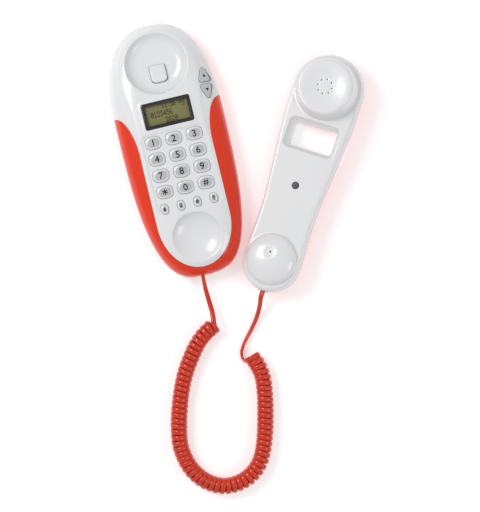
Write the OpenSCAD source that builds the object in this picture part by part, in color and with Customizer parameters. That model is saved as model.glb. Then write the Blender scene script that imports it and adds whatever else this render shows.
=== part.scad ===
// Slimline wall telephone: a base with keys, a caller display and a cradle, a handset with a
// viewing window, and the curly cord between them. Sizes are in millimetres.
// The base lies on its back on Z = 0 with its ear end towards +Y, and the handset lies beside it.

/* [Base] */
// Length of the base
base_length = 212; // [208:1:216]
// Width of the base where it is widest
base_width = 90; // [88:1:92]
// Height of the base's top face above the surface that it lies on
base_height = 28; // [28:0.5:29]
// Thickness of the moulded shells
wall = 2; // [1.8:0.1:2.2]
// Half the width of the white tongue that the coloured band runs round
tongue_half_width = 30.5; // [30:0.5:31]
// Radius of the cradle's ear recess
ear_recess_radius = 25.5; // [25:0.5:26]
// Depth of the cradle's ear recess
ear_recess_depth = 9; // [8.5:0.5:9.5]
// Radius of the cradle's mouth bowl
mouth_bowl_radius = 20.3; // [19:0.1:20.5]
// Depth of the cradle's mouth bowl
mouth_bowl_depth = 7; // [6:0.5:7.5]

/* [Keys] */
// Distance between the columns of digit keys
key_column_pitch = 17.2; // [16.6:0.1:17.4]
// Distance between the rows of digit keys
key_row_pitch = 13.7; // [13.5:0.1:13.8]
// Width of a digit key
key_width = 13.3; // [12.5:0.1:13.6]
// Height of a digit key
key_height = 10.5; // [10:0.1:11]
// How far a key goes down
key_travel = 1.5; // [1:0.1:1.5]

/* [Handset] */
// Radius of the handset's ear end
handset_ear_radius = 29.6; // [29:0.1:30]
// Radius of the handset's mouth end
handset_mouth_radius = 24.3; // [24:0.1:25]
// Turn of the handset about the vertical, away from the base's length
handset_turn = 31.8; // [31:0.1:33]
// How far the handset rolls over onto the curve of its back
handset_roll = 12; // [8:0.5:14]
// Width of the window through the handset
window_width = 38; // [36:0.5:39]
// Length of the window along the handset
window_length = 20.7; // [19:0.1:21]

/* [Fixings] */
// Distance between the two studs of the wall plate
stud_spacing = 82.6; // [80:0.1:83]
// Radius of the keyhole that a stud's head goes through
keyhole_radius = 4.2; // [4:0.1:4.5]
// Half the width of the keyhole's slot
slot_radius = 2.1; // [1.8:0.1:2.3]
// Radius of a screw's shank
screw_radius = 1.45; // [1.3:0.05:1.45]
// Radius of a screw's head
screw_head_radius = 2.9; // [2.6:0.1:3]

/* [Cord] */
// Outer diameter of the coiled stretch
coil_diameter = 14; // [13:0.5:14]
// Width of the flat cord that the coil is wound from
cord_width = 3.6; // [3:0.1:3.8]

/* [Hidden] */
$fn = 64;
thin = 0.01;
through = 60;

white = [0.92, 0.92, 0.93];
orange = [0.88, 0.26, 0.15];
grey = [0.72, 0.72, 0.74];
dark = [0.2, 0.2, 0.21];

// The base's form: an egg-like outline whose side rounds over to the top and under to the back
widest_y = 25;
widest_z = 11;
base_back_z = 1.5;
upper_reach = base_length / 2 - widest_y;
lower_reach = base_length / 2 + widest_y;
top_round = 24;
back_round = 9;
outline_steps = 48;
layer_step = 15;

// The seam between the white cover and the coloured housing
seam_gap = 0.15;
flare_width = base_width / 2 - 0.5 - tongue_half_width;
flare_length = 35.5;
tongue_bottom_y = -60;
tongue_bottom_length = 38.5;

// Places along the base
ear_y = 72.5;
mouth_y = -74;
recess_floor_z = base_height - ear_recess_depth;
display_y = 30.5;
board_z = 15.4;
board_thickness = 1.6;
board_top = board_z + board_thickness;
mat_thickness = 1.6;
key_base_z = board_top + mat_thickness + key_travel + 0.2;
key_top_z = base_height + 1.4;
key_gap = 0.3;
key_row_y = 9;
function_key_y = -45.7;
function_key_x = [-20.7, -7, 6.7, 20.4];
function_key_size = [6.2, 8.4];
panel_size = [52.8, 65.8];
panel_y = -17.4;
clip_width = 10.4;
clip_y = 48;
plunger_bottom_z = 11;
plunger_size = [13, 14];
plunger_y = 64;
plunger_proud = 3;
spring_radius = 3.6;
spring_wire = 0.6;
top_screw = [15, 90];
side_screw = [26.5, 18];
screw_length = 12;
feet = [[25, -42], [22, 72]];
foot_radius = 5;
jack_z = 10.4;
base_jack_x = -3.5;
line_jack_x = 11.5;
cell_radius = 5.2;
cell_length = 44.5;
cell_pitch = 10.8;
battery_y = -69;
battery_floor_z = 3.2;

// The handset, in its own frame: its back on Z = 0, its face up and its ear end towards +Y
split_z = 11;
back_depth = split_z;
back_edge_round = 14;
face_height = 8;
face_edge_round = 3;
shelf_z = split_z + face_height;
handset_ear_y = 73;
handset_mouth_y = -76.3;
handset_side_y = [55, 36, 18, 0, -18, -38];
ear_pad_radius = 22.5;
ear_pad_foot = 26.4;
ear_pad_height = 14;
dome_radius = 21;
dome_height = 9;
dome_y = -73.5;
window_y = 31.65;
handset_screw_y = -10;
jack_body = [11.4, 14.3, 10.8];
plug_body = [7.5, 11.4, 6.4];

// Where the handset lies: its back's edge just touches the surface that the base lies on
handset_place = [94.3, -44];
handset_raise = norm([back_depth * cos(handset_roll), back_edge_round * sin(handset_roll)])
    + (handset_ear_radius - back_edge_round) * sin(handset_roll) - back_depth;

// The cord's route, from the base to the handset
base_lead_route = [[-3.5, -105.6, 10.4], [-4, -112, 10], [-5, -119, 9], [-5, -127, 8], [-5, -135, 8],
                   [-4, -141, 9], [-4, -146, 9]];
coil_route = [[-3, -150], [-10, -150], [-16, -152], [-22, -156], [-28, -163], [-34, -172], [-39, -182],
              [-44, -195], [-48, -206], [-51, -217], [-54, -230], [-54, -243], [-51, -256], [-45, -267],
              [-36, -275], [-25, -280], [-14, -280], [-4, -276], [5, -268], [11, -258], [15, -246],
              [18, -234], [21, -220], [24, -208], [26, -196], [25, -187], [22, -181], [17, -178]];
handset_lead_route = [[16.6, -177.8, 7], [13.4, -176, 6.5], [12.6, -173, 5.5], [14, -170, 4.5],
                      [18, -166, 3], [23, -161, 2.4], [28, -155, 3], [32, -149, 5], [36, -141, 9]];

function signed_power(v, p) = sign(v) * pow(abs(v), p);
function super_point(size, power, t) =
    [size[0] * signed_power(cos(t), 2 / power), size[1] * signed_power(sin(t), 2 / power)];
function super_ring(size, power, steps) =
    [for (i = [0 : steps - 1]) super_point(size, power, 360 * i / steps)];
function arc(center, size, from, to, steps) =
    [for (i = [0 : steps]) let (a = from + (to - from) * i / steps)
        [center[0] + size[0] * cos(a), center[1] + size[1] * sin(a)]];

// A rectangle with round corners, as points
function round_box(size, radius, center) = let (w = size[0] / 2 - radius, h = size[1] / 2 - radius)
    [for (c = [[w, h, 0], [-w, h, 90], [-w, -h, 180], [w, -h, 270]])
        each arc([c[0] + center[0], c[1] + center[1]], [radius, radius], c[2], c[2] + 90, 6)];

// The base's outline, moved in by inset
function base_outline(inset) = [for (i = [0 : outline_steps - 1]) let (t = 360 * i / outline_steps)
    super_point([base_width / 2 - inset, (t < 180 ? upper_reach : lower_reach) - inset], t < 180 ? 2.5 : 3, t)
    + [0, widest_y]];

// The plan of the white cover: everything above the flares, and the tongue between them
function cover_plan(gap) = let (half = tongue_half_width - gap, bottom = tongue_bottom_length - gap)
    concat([[through, flare_length + gap], [through, base_length], [-through, base_length],
            [-through, flare_length + gap]],
           [for (b = [90 : -10 : 0]) [-half - flare_width * (1 - cos(b)), flare_length * sin(b) + gap]],
           arc([0, tongue_bottom_y], [half, bottom], 180, 360, 24),
           [for (b = [0 : 10 : 90]) [half + flare_width * (1 - cos(b)), flare_length * sin(b) + gap]]);

// The handset's half width at y, between the centres of its two round ends
function blend(u) = u <= 0 ? 0 : u >= 1 ? 1 : u * u * (3 - 2 * u);
function waist_dip(y) = pow(max(0, 1 - pow((y + 38) / 35, 2)), 2);
function handset_half_width(y) = handset_mouth_radius
    + (handset_ear_radius - handset_mouth_radius) * blend((y + 28) / 83) - waist_dip(y);
function handset_outline(inset) = let (ear = handset_ear_radius - inset, mouth = handset_mouth_radius - inset)
    concat(arc([0, handset_ear_y], [ear, ear], 0, 180, 16),
           [for (y = handset_side_y) [inset - handset_half_width(y), y]],
           arc([0, handset_mouth_y], [mouth, mouth], 180, 360, 16),
           [for (i = [len(handset_side_y) - 1 : -1 : 0])
               [handset_half_width(handset_side_y[i]) - inset, handset_side_y[i]]]);

// From the handset's own frame to where it lies
function turn_z(p, a) = [p[0] * cos(a) - p[1] * sin(a), p[0] * sin(a) + p[1] * cos(a), p[2]];
function roll_y(p, a) = [p[0] * cos(a) + p[2] * sin(a), p[1], p[2] * cos(a) - p[0] * sin(a)];
function from_handset(p) = turn_z(roll_y(p - [0, 0, split_z], -handset_roll) + [0, 0, split_z], -handset_turn)
    + [handset_place[0], handset_place[1], handset_raise];

module in_handset_place() {
    translate([handset_place[0], handset_place[1], handset_raise])
        rotate([0, 0, -handset_turn])
            translate([0, 0, split_z])
                rotate([0, -handset_roll, 0])
                    translate([0, 0, -split_z])
                        children();
}

// A closed solid through rings of points that all have the same number of points. Its two ends are
// single faces, or with a mirror line given, strips across from each point to its mirrored one: the
// mirror line is the sum of the two points' numbers, and top the number of the point on the line.
function strips(n, mirror_sum, top) = let (across = [for (i = [0 : n - 1]) (mirror_sum - i + n) % n])
    [for (i = [top : top + n / 2 - 1])
        i == top ? [i, i + 1, across[i + 1]]
        : i + 1 == top + n / 2 ? [i, i + 1, across[i]]
        : [i, i + 1, across[i + 1], across[i]]];
function turned_round(face) = [for (i = [len(face) - 1 : -1 : 0]) face[i]];
module loft(rings, mirror_sum = -1, top = 0) {
    n = len(rings[0]);
    last = (len(rings) - 1) * n;
    ends = mirror_sum < 0 ? [[for (i = [0 : n - 1]) i]] : strips(n, mirror_sum, top);
    polyhedron(
        points = [for (ring = rings) each ring],
        faces = concat(
            ends,
            [for (k = [0 : n : last - n], i = [0 : n - 1]) let (j = (i + 1) % n)
                [k + i, k + n + i, k + n + j, k + j]],
            [for (face = ends) turned_round([for (i = face) last + i])]),
        convexity = 6);
}

// A round tube along a route
function along(route, i) = let (a = route[max(i - 1, 0)], b = route[min(i + 1, len(route) - 1)])
    (b - a) / norm(b - a);
function ring_at(p, dir, radius, sides) = let (side = cross(dir, [0, 0, 1]), u = side / norm(side),
        v = cross(dir, u))
    [for (i = [0 : sides - 1]) p + radius * (cos(360 * i / sides) * u + sin(360 * i / sides) * v)];
module tube(route, radius, sides) {
    loft([for (i = [0 : len(route) - 1]) ring_at(route[i], along(route, i), radius, sides)]);
}

// The base's outer form, or that form moved in by shrink
module base_form(shrink) {
    hull()
        for (a = [-90 : layer_step : 90]) {
            round_over = a < 0 ? back_round : top_round;
            height = a < 0 ? widest_z - base_back_z : base_height - widest_z;
            translate([0, 0, widest_z + (height - shrink - thin) * sin(a)])
                linear_extrude(thin)
                    polygon(base_outline(round_over * (1 - cos(a)) + shrink));
        }
}

// One half of the handset's form, the face (side 1) or the back (side -1), without the ear pad and
// mouth dome. A half that is moved in by shrink runs on past the split, so that it can hollow the other.
module handset_half(shrink, side) {
    height = side > 0 ? face_height : split_z - seam_gap;
    edge_round = side > 0 ? face_edge_round : back_edge_round;
    levels = concat(shrink > 0 ? [[shrink, -1]] : [],
        [for (a = [0 : layer_step : 90]) [edge_round * (1 - cos(a)) + shrink, (height - shrink) * sin(a)]]);
    translate([0, 0, side > 0 ? split_z : height])
        mirror([0, 0, side > 0 ? 0 : 1])
            loft([for (level = levels) [for (p = handset_outline(level[0])) [p[0], p[1], level[1]]]], 16, 8);
}

// A hollow that goes down from rim_z, round-walled and flat in the middle
module bowl(radius, flat_radius, rim_z, depth, grow) {
    rise = depth + grow;
    rotate_extrude()
        polygon(concat([[0, through], [0, rim_z - rise]],
            [for (a = [flat_radius > 0 ? 0 : 10 : 10 : 90])
                [flat_radius + (radius + grow - flat_radius) * sin(a), rim_z - rise * cos(a)]],
            [[radius + grow, through]]));
}
module ear_recess(grow) {
    translate([0, ear_y, 0])
        bowl(ear_recess_radius, 15, base_height, ear_recess_depth, grow);
}
module mouth_bowl(grow) {
    translate([0, mouth_y, 0])
        bowl(mouth_bowl_radius, 0, base_height - 0.5, mouth_bowl_depth, grow);
}

module box_at(center, size) {
    translate([center[0] - size[0] / 2, center[1] - size[1] / 2, center[2]])
        cube(size);
}

// The D-shaped plan of the hook plunger
module plunger_plan(grow) {
    w = plunger_size[0] / 2 + grow;
    h = plunger_size[1] / 2 + grow;
    translate([0, plunger_y])
        polygon(concat(arc([w - 1.5, h - 1.5], [1.5, 1.5], 0, 90, 4), arc([1.5 - w, h - 1.5], [1.5, 1.5], 90, 180, 4),
                       arc([4 - w, 3 - h], [4, 3], 180, 270, 6), arc([w - 4, 3 - h], [4, 3], 270, 360, 6)));
}

// The rounded triangles of the two arrow keys: side is 1 for up and -1 for down
module arrow_plan(side, grow) {
    foot_y = 47.5 + side * 0.9;
    apex_y = foot_y + side * 10.2;
    hull() {
        for (corner = [[32.7, foot_y + side * 1.8, 1.8], [38.4, foot_y + side * 2, 2], [35.7, apex_y, 1.6]])
            translate([corner[0], corner[1]])
                circle(corner[2] + grow, $fn = 24);
    }
}

module digit_key_plan(grow) {
    polygon(super_ring([key_width / 2 + grow, key_height / 2 + grow], 2.8, 32));
}
module function_key_plan(grow) {
    polygon(super_ring([function_key_size[0] / 2 + grow, function_key_size[1] / 2 + grow], 2.3, 28));
}
function digit_key_place(column, row) = [(column - 1) * key_column_pitch, key_row_y - row * key_row_pitch];

// The openings that all the keys stand in
module key_openings() {
    for (column = [0 : 2], row = [0 : 3])
        translate(digit_key_place(column, row))
            digit_key_plan(key_gap);
    for (x = function_key_x)
        translate([x, function_key_y])
            function_key_plan(key_gap);
    for (side = [-1, 1])
        arrow_plan(side, key_gap);
}

// Screw bosses of the base, in pairs
module at_base_screws() {
    for (place = [top_screw, side_screw], side = [-1, 1])
        translate([side * place[0], place[1], 0])
            children();
}

module front_cover() {
    color(white)
        difference() {
            intersection() {
                base_form(0);
                union() {
                    difference() {
                        translate([0, 0, widest_z])
                            linear_extrude(through)
                                polygon(cover_plan(0));
                        base_form(wall);
                    }
                    difference() {
                        ear_recess(wall);
                        translate([0, 0, -through])
                            linear_extrude(through + widest_z)
                                square(2 * through + base_length, center = true);
                    }
                    mouth_bowl(wall);
                    at_base_screws()
                        translate([0, 0, 10.1])
                            cylinder(r = 3.2, h = 16);
                    for (side = [-1, 1])
                        box_at([side * 19, -84, 16], [6, 1.6, 8]);
                }
            }
            ear_recess(0);
            mouth_bowl(0);
            linear_extrude(through)
                key_openings();
            translate([0, 0, base_height - 0.7])
                linear_extrude(through)
                    polygon(round_box(panel_size, 5, [0, panel_y]));
            linear_extrude(through)
                polygon(round_box([40.8, 21.8], 1.6, [0, display_y]));
            linear_extrude(through)
                plunger_plan(0.3);
            box_at([0, clip_y, 0], [clip_width + 0.5, 1.9, through]);
            at_base_screws()
                translate([0, 0, 10])
                    cylinder(r = screw_radius + 0.05, h = 6.5);
        }
}

// The rubber feet, in pairs
module at_feet() {
    for (place = feet, side = [-1, 1])
        translate([side * place[0], place[1], 0])
            children();
}

// The two keyholes that hang the base on the studs of a wall plate
module keyholes() {
    for (side = [-1, 1])
        translate([0, side * stud_spacing / 2, -1]) {
            cylinder(r = keyhole_radius, h = 8);
            box_at([0, 4, 0], [2 * slot_radius, 8, 8]);
            translate([0, 8, 0])
                cylinder(r = slot_radius, h = 8);
        }
}

module battery_hollow() {
    box_at([0, battery_y, 0], [48.2, 33, 14.2]);
}

module rear_housing() {
    color(orange)
        difference() {
            union() {
                difference() {
                    base_form(0);
                    base_form(wall);
                    translate([0, 0, widest_z - seam_gap])
                        linear_extrude(through)
                            polygon(cover_plan(-seam_gap));
                }
                translate([0, 3, 0])
                    linear_extrude(3)
                        polygon(round_box([28, 102], 6, [0, 0]));
                intersection() {
                    base_form(0.5);
                    union() {
                        box_at([0, battery_y, 2], [51.2, 35.8, 13.7]);
                        box_at([0, -76, 2], [54, 46, 2.7]);
                        at_base_screws()
                            translate([0, 0, 2])
                                cylinder(r = 4.2, h = 8);
                        for (x = [-21, 21], y = [-46, 4])
                            translate([x, y, 2])
                                cylinder(r = 2.5, h = board_z - 2.1);
                    }
                }
            }
            keyholes();
            battery_hollow();
            box_at([0, -83.2, -1], [50.4, 61.6, battery_floor_z + 1]);
            at_base_screws() {
                translate([0, 0, -1])
                    cylinder(r = screw_head_radius + 0.3, h = 6.5);
                cylinder(r = screw_radius + 0.35, h = 20);
            }
            at_feet()
                translate([0, 0, -1])
                    cylinder(r = foot_radius + 0.2, h = 3.1);
            box_at([0, 90, -1], [8.4, 3, 8]);
            for (x = [-4 : 2 : 4])
                translate([20 + x, 78 + x / 2, -1])
                    cylinder(r = 0.7, h = 8, $fn = 24);
            box_at([base_jack_x, -108, 4.9], [jack_body[0] + 0.4, 28, 11]);
            box_at([line_jack_x, -108, 4.9], [13.8, 28, 11]);
        }
}

module display_bezel() {
    color([0.05, 0.05, 0.05])
        difference() {
            translate([0, 0, 24.6])
                linear_extrude(base_height + 0.2 - 24.6)
                    polygon(round_box([40.4, 21.4], 1.5, [0, display_y]));
            linear_extrude(through)
                polygon(round_box([35.2, 16], 0.6, [0, display_y + 0.3]));
            translate([0, 0, base_height - 0.9])
                linear_extrude(2)
                    polygon(round_box([37, 17.8], 0.8, [0, display_y + 0.3]));
        }
}

module display_lens() {
    color([0.8, 0.85, 0.85, 0.3])
        translate([0, 0, base_height - 0.85])
            linear_extrude(0.85)
                polygon(round_box([36.8, 17.6], 0.7, [0, display_y + 0.3]));
}

module display_glass() {
    color([0.52, 0.5, 0.28])
        box_at([0, display_y + 0.3, 22.1], [38.6, 19.6, 2.4]);
}

module display_holder() {
    color(white)
        difference() {
            box_at([0, display_y + 0.3, board_top + 0.05], [40, 21, 5]);
            box_at([0, display_y + 0.3, board_top + 2], [37, 18, 5]);
        }
}

module main_board() {
    color([0.1, 0.4, 0.2])
        difference() {
            translate([0, 0, board_z])
                linear_extrude(board_thickness)
                    union() {
                        translate([-25.4, -51])
                            square([50.8, 96]);
                        translate([24, 30])
                            square([14.5, 31]);
                    }
            at_base_screws()
                cylinder(r = 3.7, h = through);
        }
}

module keypad_mat() {
    color(dark)
        translate([0, 0, board_top]) {
            linear_extrude(1)
                translate([-25.2, -50.6])
                    square([50.4, 66]);
            for (column = [0 : 2], row = [0 : 3])
                translate(digit_key_place(column, row))
                    cylinder(r = 3.5, h = mat_thickness);
            for (x = function_key_x)
                translate([x, function_key_y, 0])
                    cylinder(r = 2.2, h = mat_thickness);
        }
}

module arrow_key_mat() {
    color(dark)
        translate([0, 0, board_top]) {
            linear_extrude(1)
                translate([30.5, 34])
                    square([6.8, 25.5]);
            for (y = [42, 53])
                translate([35.4, y, 0])
                    cylinder(r = 2.2, h = mat_thickness);
        }
}

module ringer_disc() {
    color([0.75, 0.6, 0.3])
        translate([18.5, 77, 3.55]) {
            cylinder(r = 7, h = 0.4);
            cylinder(r = 5, h = 0.7);
        }
}

module hook_plunger() {
    color(white)
        union() {
            translate([0, 0, plunger_bottom_z])
                linear_extrude(recess_floor_z + plunger_proud - plunger_bottom_z)
                    plunger_plan(0);
            translate([0, 0, recess_floor_z - wall - 1.7])
                linear_extrude(1.5)
                    plunger_plan(1.3);
            box_at([9, plunger_y, plunger_bottom_z], [6, 4, 1.6]);
        }
}

// A compression spring of round wire whose end turns lie flat
module hook_spring() {
    bottom = 3.55 + spring_wire / 2;
    height = plunger_bottom_z - 0.05 - spring_wire / 2 - bottom;
    turns = 5;
    steps = 12;
    color("silver")
        translate([0, plunger_y, 0])
            tube([for (i = [0 : turns * steps]) let (a = 360 * i / steps, u = i / (turns * steps))
                    [spring_radius * cos(a), spring_radius * sin(a), bottom + height * u]],
                 spring_wire / 2, 6);
}

module hook_switch() {
    color(dark)
        union() {
            box_at([11.5, plunger_y, 3.55], [6, 12, 3.2]);
            box_at([10.5, plunger_y, 6.7], [2, 3, 0.7]);
        }
}

module handset_clip() {
    color(white)
        union() {
            box_at([0, clip_y, 11.5], [clip_width, 1.4, 14]);
            box_at([0, clip_y + 0.9, 12], [clip_width - 1, 1, 2]);
        }
}

// A modular jack with its mouth towards -Y and its socket's centre at height 0
module modular_jack(size, socket_width) {
    difference() {
        box_at([0, size[1] / 2, -size[2] / 2], size);
        box_at([0, 5, -3.4], [socket_width, 12, 6.8]);
        box_at([0, 5, 2.9], [4, 12, 1.2]);
    }
}
module line_jack() {
    color(dark)
        translate([line_jack_x, -101.4, jack_z])
            modular_jack([13.4, jack_body[1], jack_body[2]], 10);
}
module base_cord_jack() {
    color(dark)
        translate([base_jack_x, -104, jack_z])
            modular_jack(jack_body, 7.9);
}

// A modular plug that sits in a jack's socket, its cord end towards -Y
module modular_plug() {
    box_at([0, plug_body[1] / 2 - 1.6, -plug_body[2] / 2], plug_body);
    box_at([0, 3.5, plug_body[2] / 2 - thin], [3.6, 8, 0.7]);
}
module base_plug() {
    color([0.85, 0.85, 0.85, 0.6])
        translate([base_jack_x, -104, jack_z])
            modular_plug();
}

module screw(length) {
    difference() {
        union() {
            cylinder(r = screw_head_radius, h = 1.9);
            cylinder(r = screw_radius, h = length);
        }
        translate([0, 0, -1]) {
            box_at([0, 0, 0], [3.4, 0.8, 1.9]);
            box_at([0, 0, 0], [0.8, 3.4, 1.9]);
        }
    }
}
module base_screws() {
    color("silver")
        at_base_screws()
            translate([0, 0, 3.5])
                screw(screw_length);
}

module rubber_feet() {
    color(dark)
        at_feet()
            cylinder(r = foot_radius, h = 2.05);
}

module battery_door() {
    color(orange)
        difference() {
            intersection() {
                base_form(0);
                box_at([0, -83, 0], [50, 61, battery_floor_z - 0.1]);
            }
            for (y = [-60 : -2 : -68])
                box_at([0, y, base_back_z - 0.5], [14, 0.9, 1]);
        }
}

module battery_cells() {
    color([0.35, 0.38, 0.42])
        for (i = [-1 : 1])
            translate([-cell_length / 2, battery_y + i * cell_pitch, battery_floor_z + 0.1 + cell_radius])
                rotate([0, 90, 0])
                    union() {
                        cylinder(r = cell_radius, h = cell_length - 1);
                        cylinder(r = 1.8, h = cell_length);
                    }
}

module battery_contacts() {
    color("silver")
        for (side = [-1, 1], i = [-1 : 1])
            box_at([side * 23.4, battery_y + i * cell_pitch, battery_floor_z + 1], [0.5, 8, 8.5]);
}

module ringer_switch_body() {
    color(dark)
        box_at([0, 90, 5.2], [12, 5.6, 4]);
}
module ringer_switch_knob() {
    color(dark)
        union() {
            box_at([-2, 90, 0.7], [3.4, 2.4, 4]);
            box_at([-2, 90, 3.7], [4.6, 4.4, 1.3]);
        }
}

// A key cap: a stem, a flange that stays under the cover, and a gently crowned top
module key_cap(place, crown_radius) {
    translate([place[0], place[1], 0])
        union() {
            intersection() {
                translate([0, 0, key_base_z])
                    linear_extrude(through)
                        children(0);
                translate([0, 0, key_top_z - crown_radius])
                    sphere(r = crown_radius, $fn = 120);
            }
            translate([0, 0, base_height - 0.7 - wall - 1.5])
                linear_extrude(1)
                    children(1);
        }
}
module digit_key(column, row) {
    color(grey)
        key_cap(digit_key_place(column, row), 26) {
            digit_key_plan(0);
            digit_key_plan(0.8);
        }
}
module function_key(number) {
    color(grey)
        key_cap([function_key_x[number - 1], function_key_y], 14) {
            function_key_plan(0);
            function_key_plan(0.8);
        }
}

// An arrow key follows the slope of the cover that it stands in
module arrow_key(side) {
    color(grey)
        union() {
            intersection() {
                base_form(-1);
                translate([0, 0, key_base_z])
                    linear_extrude(through)
                        arrow_plan(side, 0);
            }
            intersection() {
                base_form(wall + 0.3);
                translate([0, 0, key_base_z])
                    linear_extrude(1)
                        arrow_plan(side, 0.7);
            }
        }
}
module key_up() {
    arrow_key(1);
}
module key_down() {
    arrow_key(-1);
}

// The hole through the handset, in plan
module window_plan(grow) {
    polygon(round_box([window_width + 2 * grow, window_length + 2 * grow], 2.5 + grow, [0, window_y]));
}

// The raised ear pad and mouth dome of the handset, moved in by shrink
module ear_pad(shrink) {
    top = shelf_z + ear_pad_height - shrink;
    radius = ear_pad_radius - shrink;
    bottom = split_z - sign(shrink);
    translate([0, handset_ear_y, 0])
        rotate_extrude()
            polygon([[0, bottom], [0, top], [radius - 2.2, top], [radius - 0.7, top - 0.6], [radius, top - 2],
                     [ear_pad_foot - shrink, shelf_z - 2], [ear_pad_foot - shrink, bottom]]);
}
module mouth_dome(shrink) {
    bottom = split_z - sign(shrink);
    translate([0, dome_y, 0])
        rotate_extrude()
            polygon(concat([[0, bottom], [dome_radius - shrink, bottom]],
                [for (a = [0 : 10 : 80]) [(dome_radius - shrink) * cos(a),
                    shelf_z - shrink + dome_height * sin(a)]],
                [[0, shelf_z - shrink + dome_height]]));
}
module handset_face_form(shrink) {
    handset_half(shrink, 1);
    ear_pad(shrink);
    mouth_dome(shrink);
}

module jack_hollow() {
    box_at([0, -92, 4.4], [jack_body[0] + 0.4, 24, jack_body[2] + 0.4]);
}

module handset_face() {
    color(white)
        in_handset_place()
            difference() {
                union() {
                    difference() {
                        handset_face_form(0);
                        handset_face_form(wall);
                    }
                    translate([0, 0, split_z])
                        linear_extrude(face_height - 0.5)
                            window_plan(wall);
                    translate([0, handset_screw_y, split_z])
                        cylinder(r = 5, h = face_height - 0.5);
                }
                translate([0, 0, -1])
                    linear_extrude(through)
                        window_plan(0);
                hull() {
                    translate([0, 0, shelf_z + 0.1])
                        linear_extrude(thin)
                            window_plan(3.2);
                    translate([0, 0, shelf_z - 3.2])
                        linear_extrude(thin)
                            window_plan(0.1);
                }
                for (a = [0 : 45 : 315])
                    translate([6 * cos(a), handset_ear_y + 6 * sin(a), 20])
                        cylinder(r = 0.65, h = through, $fn = 24);
                translate([-1, -68, 20])
                    cylinder(r = 0.8, h = through, $fn = 24);
                translate([0, handset_screw_y, 13])
                    cylinder(r = screw_head_radius + 0.2, h = through);
                translate([0, handset_screw_y, 0])
                    cylinder(r = screw_radius + 0.35, h = through);
                jack_hollow();
            }
}

module handset_back() {
    color(orange)
        in_handset_place()
            difference() {
                union() {
                    difference() {
                        handset_half(0, -1);
                        handset_half(wall, -1);
                    }
                    translate([0, 0, 1])
                        linear_extrude(split_z - seam_gap - 1)
                            window_plan(wall);
                    translate([0, handset_screw_y, 1])
                        cylinder(r = 3.8, h = split_z - seam_gap - 1);
                }
                translate([0, 0, -1])
                    linear_extrude(through)
                        window_plan(0);
                translate([0, handset_screw_y, 3])
                    cylinder(r = screw_radius + 0.05, h = through);
                jack_hollow();
            }
}

module receiver_capsule() {
    color("silver")
        in_handset_place()
            translate([0, handset_ear_y, 23.5])
                union() {
                    cylinder(r = 16, h = 6.5);
                    translate([0, 0, -2])
                        cylinder(r = 8, h = 3);
                }
}
module receiver_ring() {
    color(dark)
        in_handset_place()
            translate([0, handset_ear_y, 22])
                difference() {
                    cylinder(r = 18.5, h = 8);
                    translate([0, 0, 1.4])
                        cylinder(r = 16.1, h = 8);
                    translate([0, 0, -1])
                        cylinder(r = 14, h = 8);
                }
}
module microphone() {
    color("silver")
        in_handset_place()
            translate([-1, -68, 20])
                cylinder(r = 4.8, h = 4);
}
module microphone_boot() {
    color(dark)
        in_handset_place()
            translate([-1, -68, 18.5])
                difference() {
                    cylinder(r = 6.2, h = 5);
                    translate([0, 0, 1.4])
                        cylinder(r = 4.9, h = 8);
                }
}
module handset_weight() {
    color([0.45, 0.46, 0.48])
        in_handset_place()
            box_at([0, -35, wall + 0.05], [14, 32, 6]);
}
module handset_cord_jack() {
    color(dark)
        in_handset_place()
            translate([0, -99.1, 10])
                modular_jack(jack_body, 7.9);
}
module handset_plug() {
    color([0.85, 0.85, 0.85, 0.6])
        in_handset_place()
            translate([0, -99.1, 10])
                modular_plug();
}
module handset_screw() {
    color("silver")
        in_handset_place()
            translate([0, handset_screw_y, 14.95])
                rotate([180, 0, 0])
                    screw(10.5);
}
module handset_screw_plug() {
    color(dark)
        in_handset_place()
            translate([0, handset_screw_y, 15.6])
                cylinder(r = screw_head_radius + 0.15, h = shelf_z - 15.7);
}

module base_lead() {
    color(orange)
        tube(base_lead_route, cord_width / 2, 8);
}
module cord_coil() {
    color(orange)
        tube([for (p = coil_route) [p[0], p[1], coil_diameter / 2]], coil_diameter / 2, 12);
}
module handset_lead() {
    color(orange)
        tube(concat(handset_lead_route, [from_handset([0, -105, 10]), from_handset([0, -100.7, 10])]),
             cord_width / 2, 8);
}

front_cover();
rear_housing();
display_bezel();
display_lens();
display_holder();
display_glass();
main_board();
keypad_mat();
arrow_key_mat();
ringer_disc();
hook_switch();
hook_plunger();
hook_spring();
handset_clip();
line_jack();
base_cord_jack();
base_screws();
rubber_feet();
battery_door();
battery_cells();
battery_contacts();
ringer_switch_body();
ringer_switch_knob();
digit_key(0, 0);  // key_1
digit_key(1, 0);  // key_2
digit_key(2, 0);  // key_3
digit_key(0, 1);  // key_4
digit_key(1, 1);  // key_5
digit_key(2, 1);  // key_6
digit_key(0, 2);  // key_7
digit_key(1, 2);  // key_8
digit_key(2, 2);  // key_9
digit_key(0, 3);  // key_star
digit_key(1, 3);  // key_0
digit_key(2, 3);  // key_hash
function_key(1);  // function_key_1
function_key(2);  // function_key_2
function_key(3);  // function_key_3
function_key(4);  // function_key_4
key_up();
key_down();
handset_face();
handset_back();
receiver_capsule();
receiver_ring();
microphone();
microphone_boot();
handset_weight();
handset_cord_jack();
handset_screw();
handset_screw_plug();
base_plug();
base_lead();
cord_coil();
handset_plug();
handset_lead();
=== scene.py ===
"""The looks of the slimline wall telephone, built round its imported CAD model.
Shapes are worked out in millimetres and turned into metres when a mesh is made."""
import math

import bmesh
import bpy
import numpy as np
from mathutils import Matrix, Vector, kdtree
from mathutils.geometry import delaunay_2d_cdt


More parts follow.
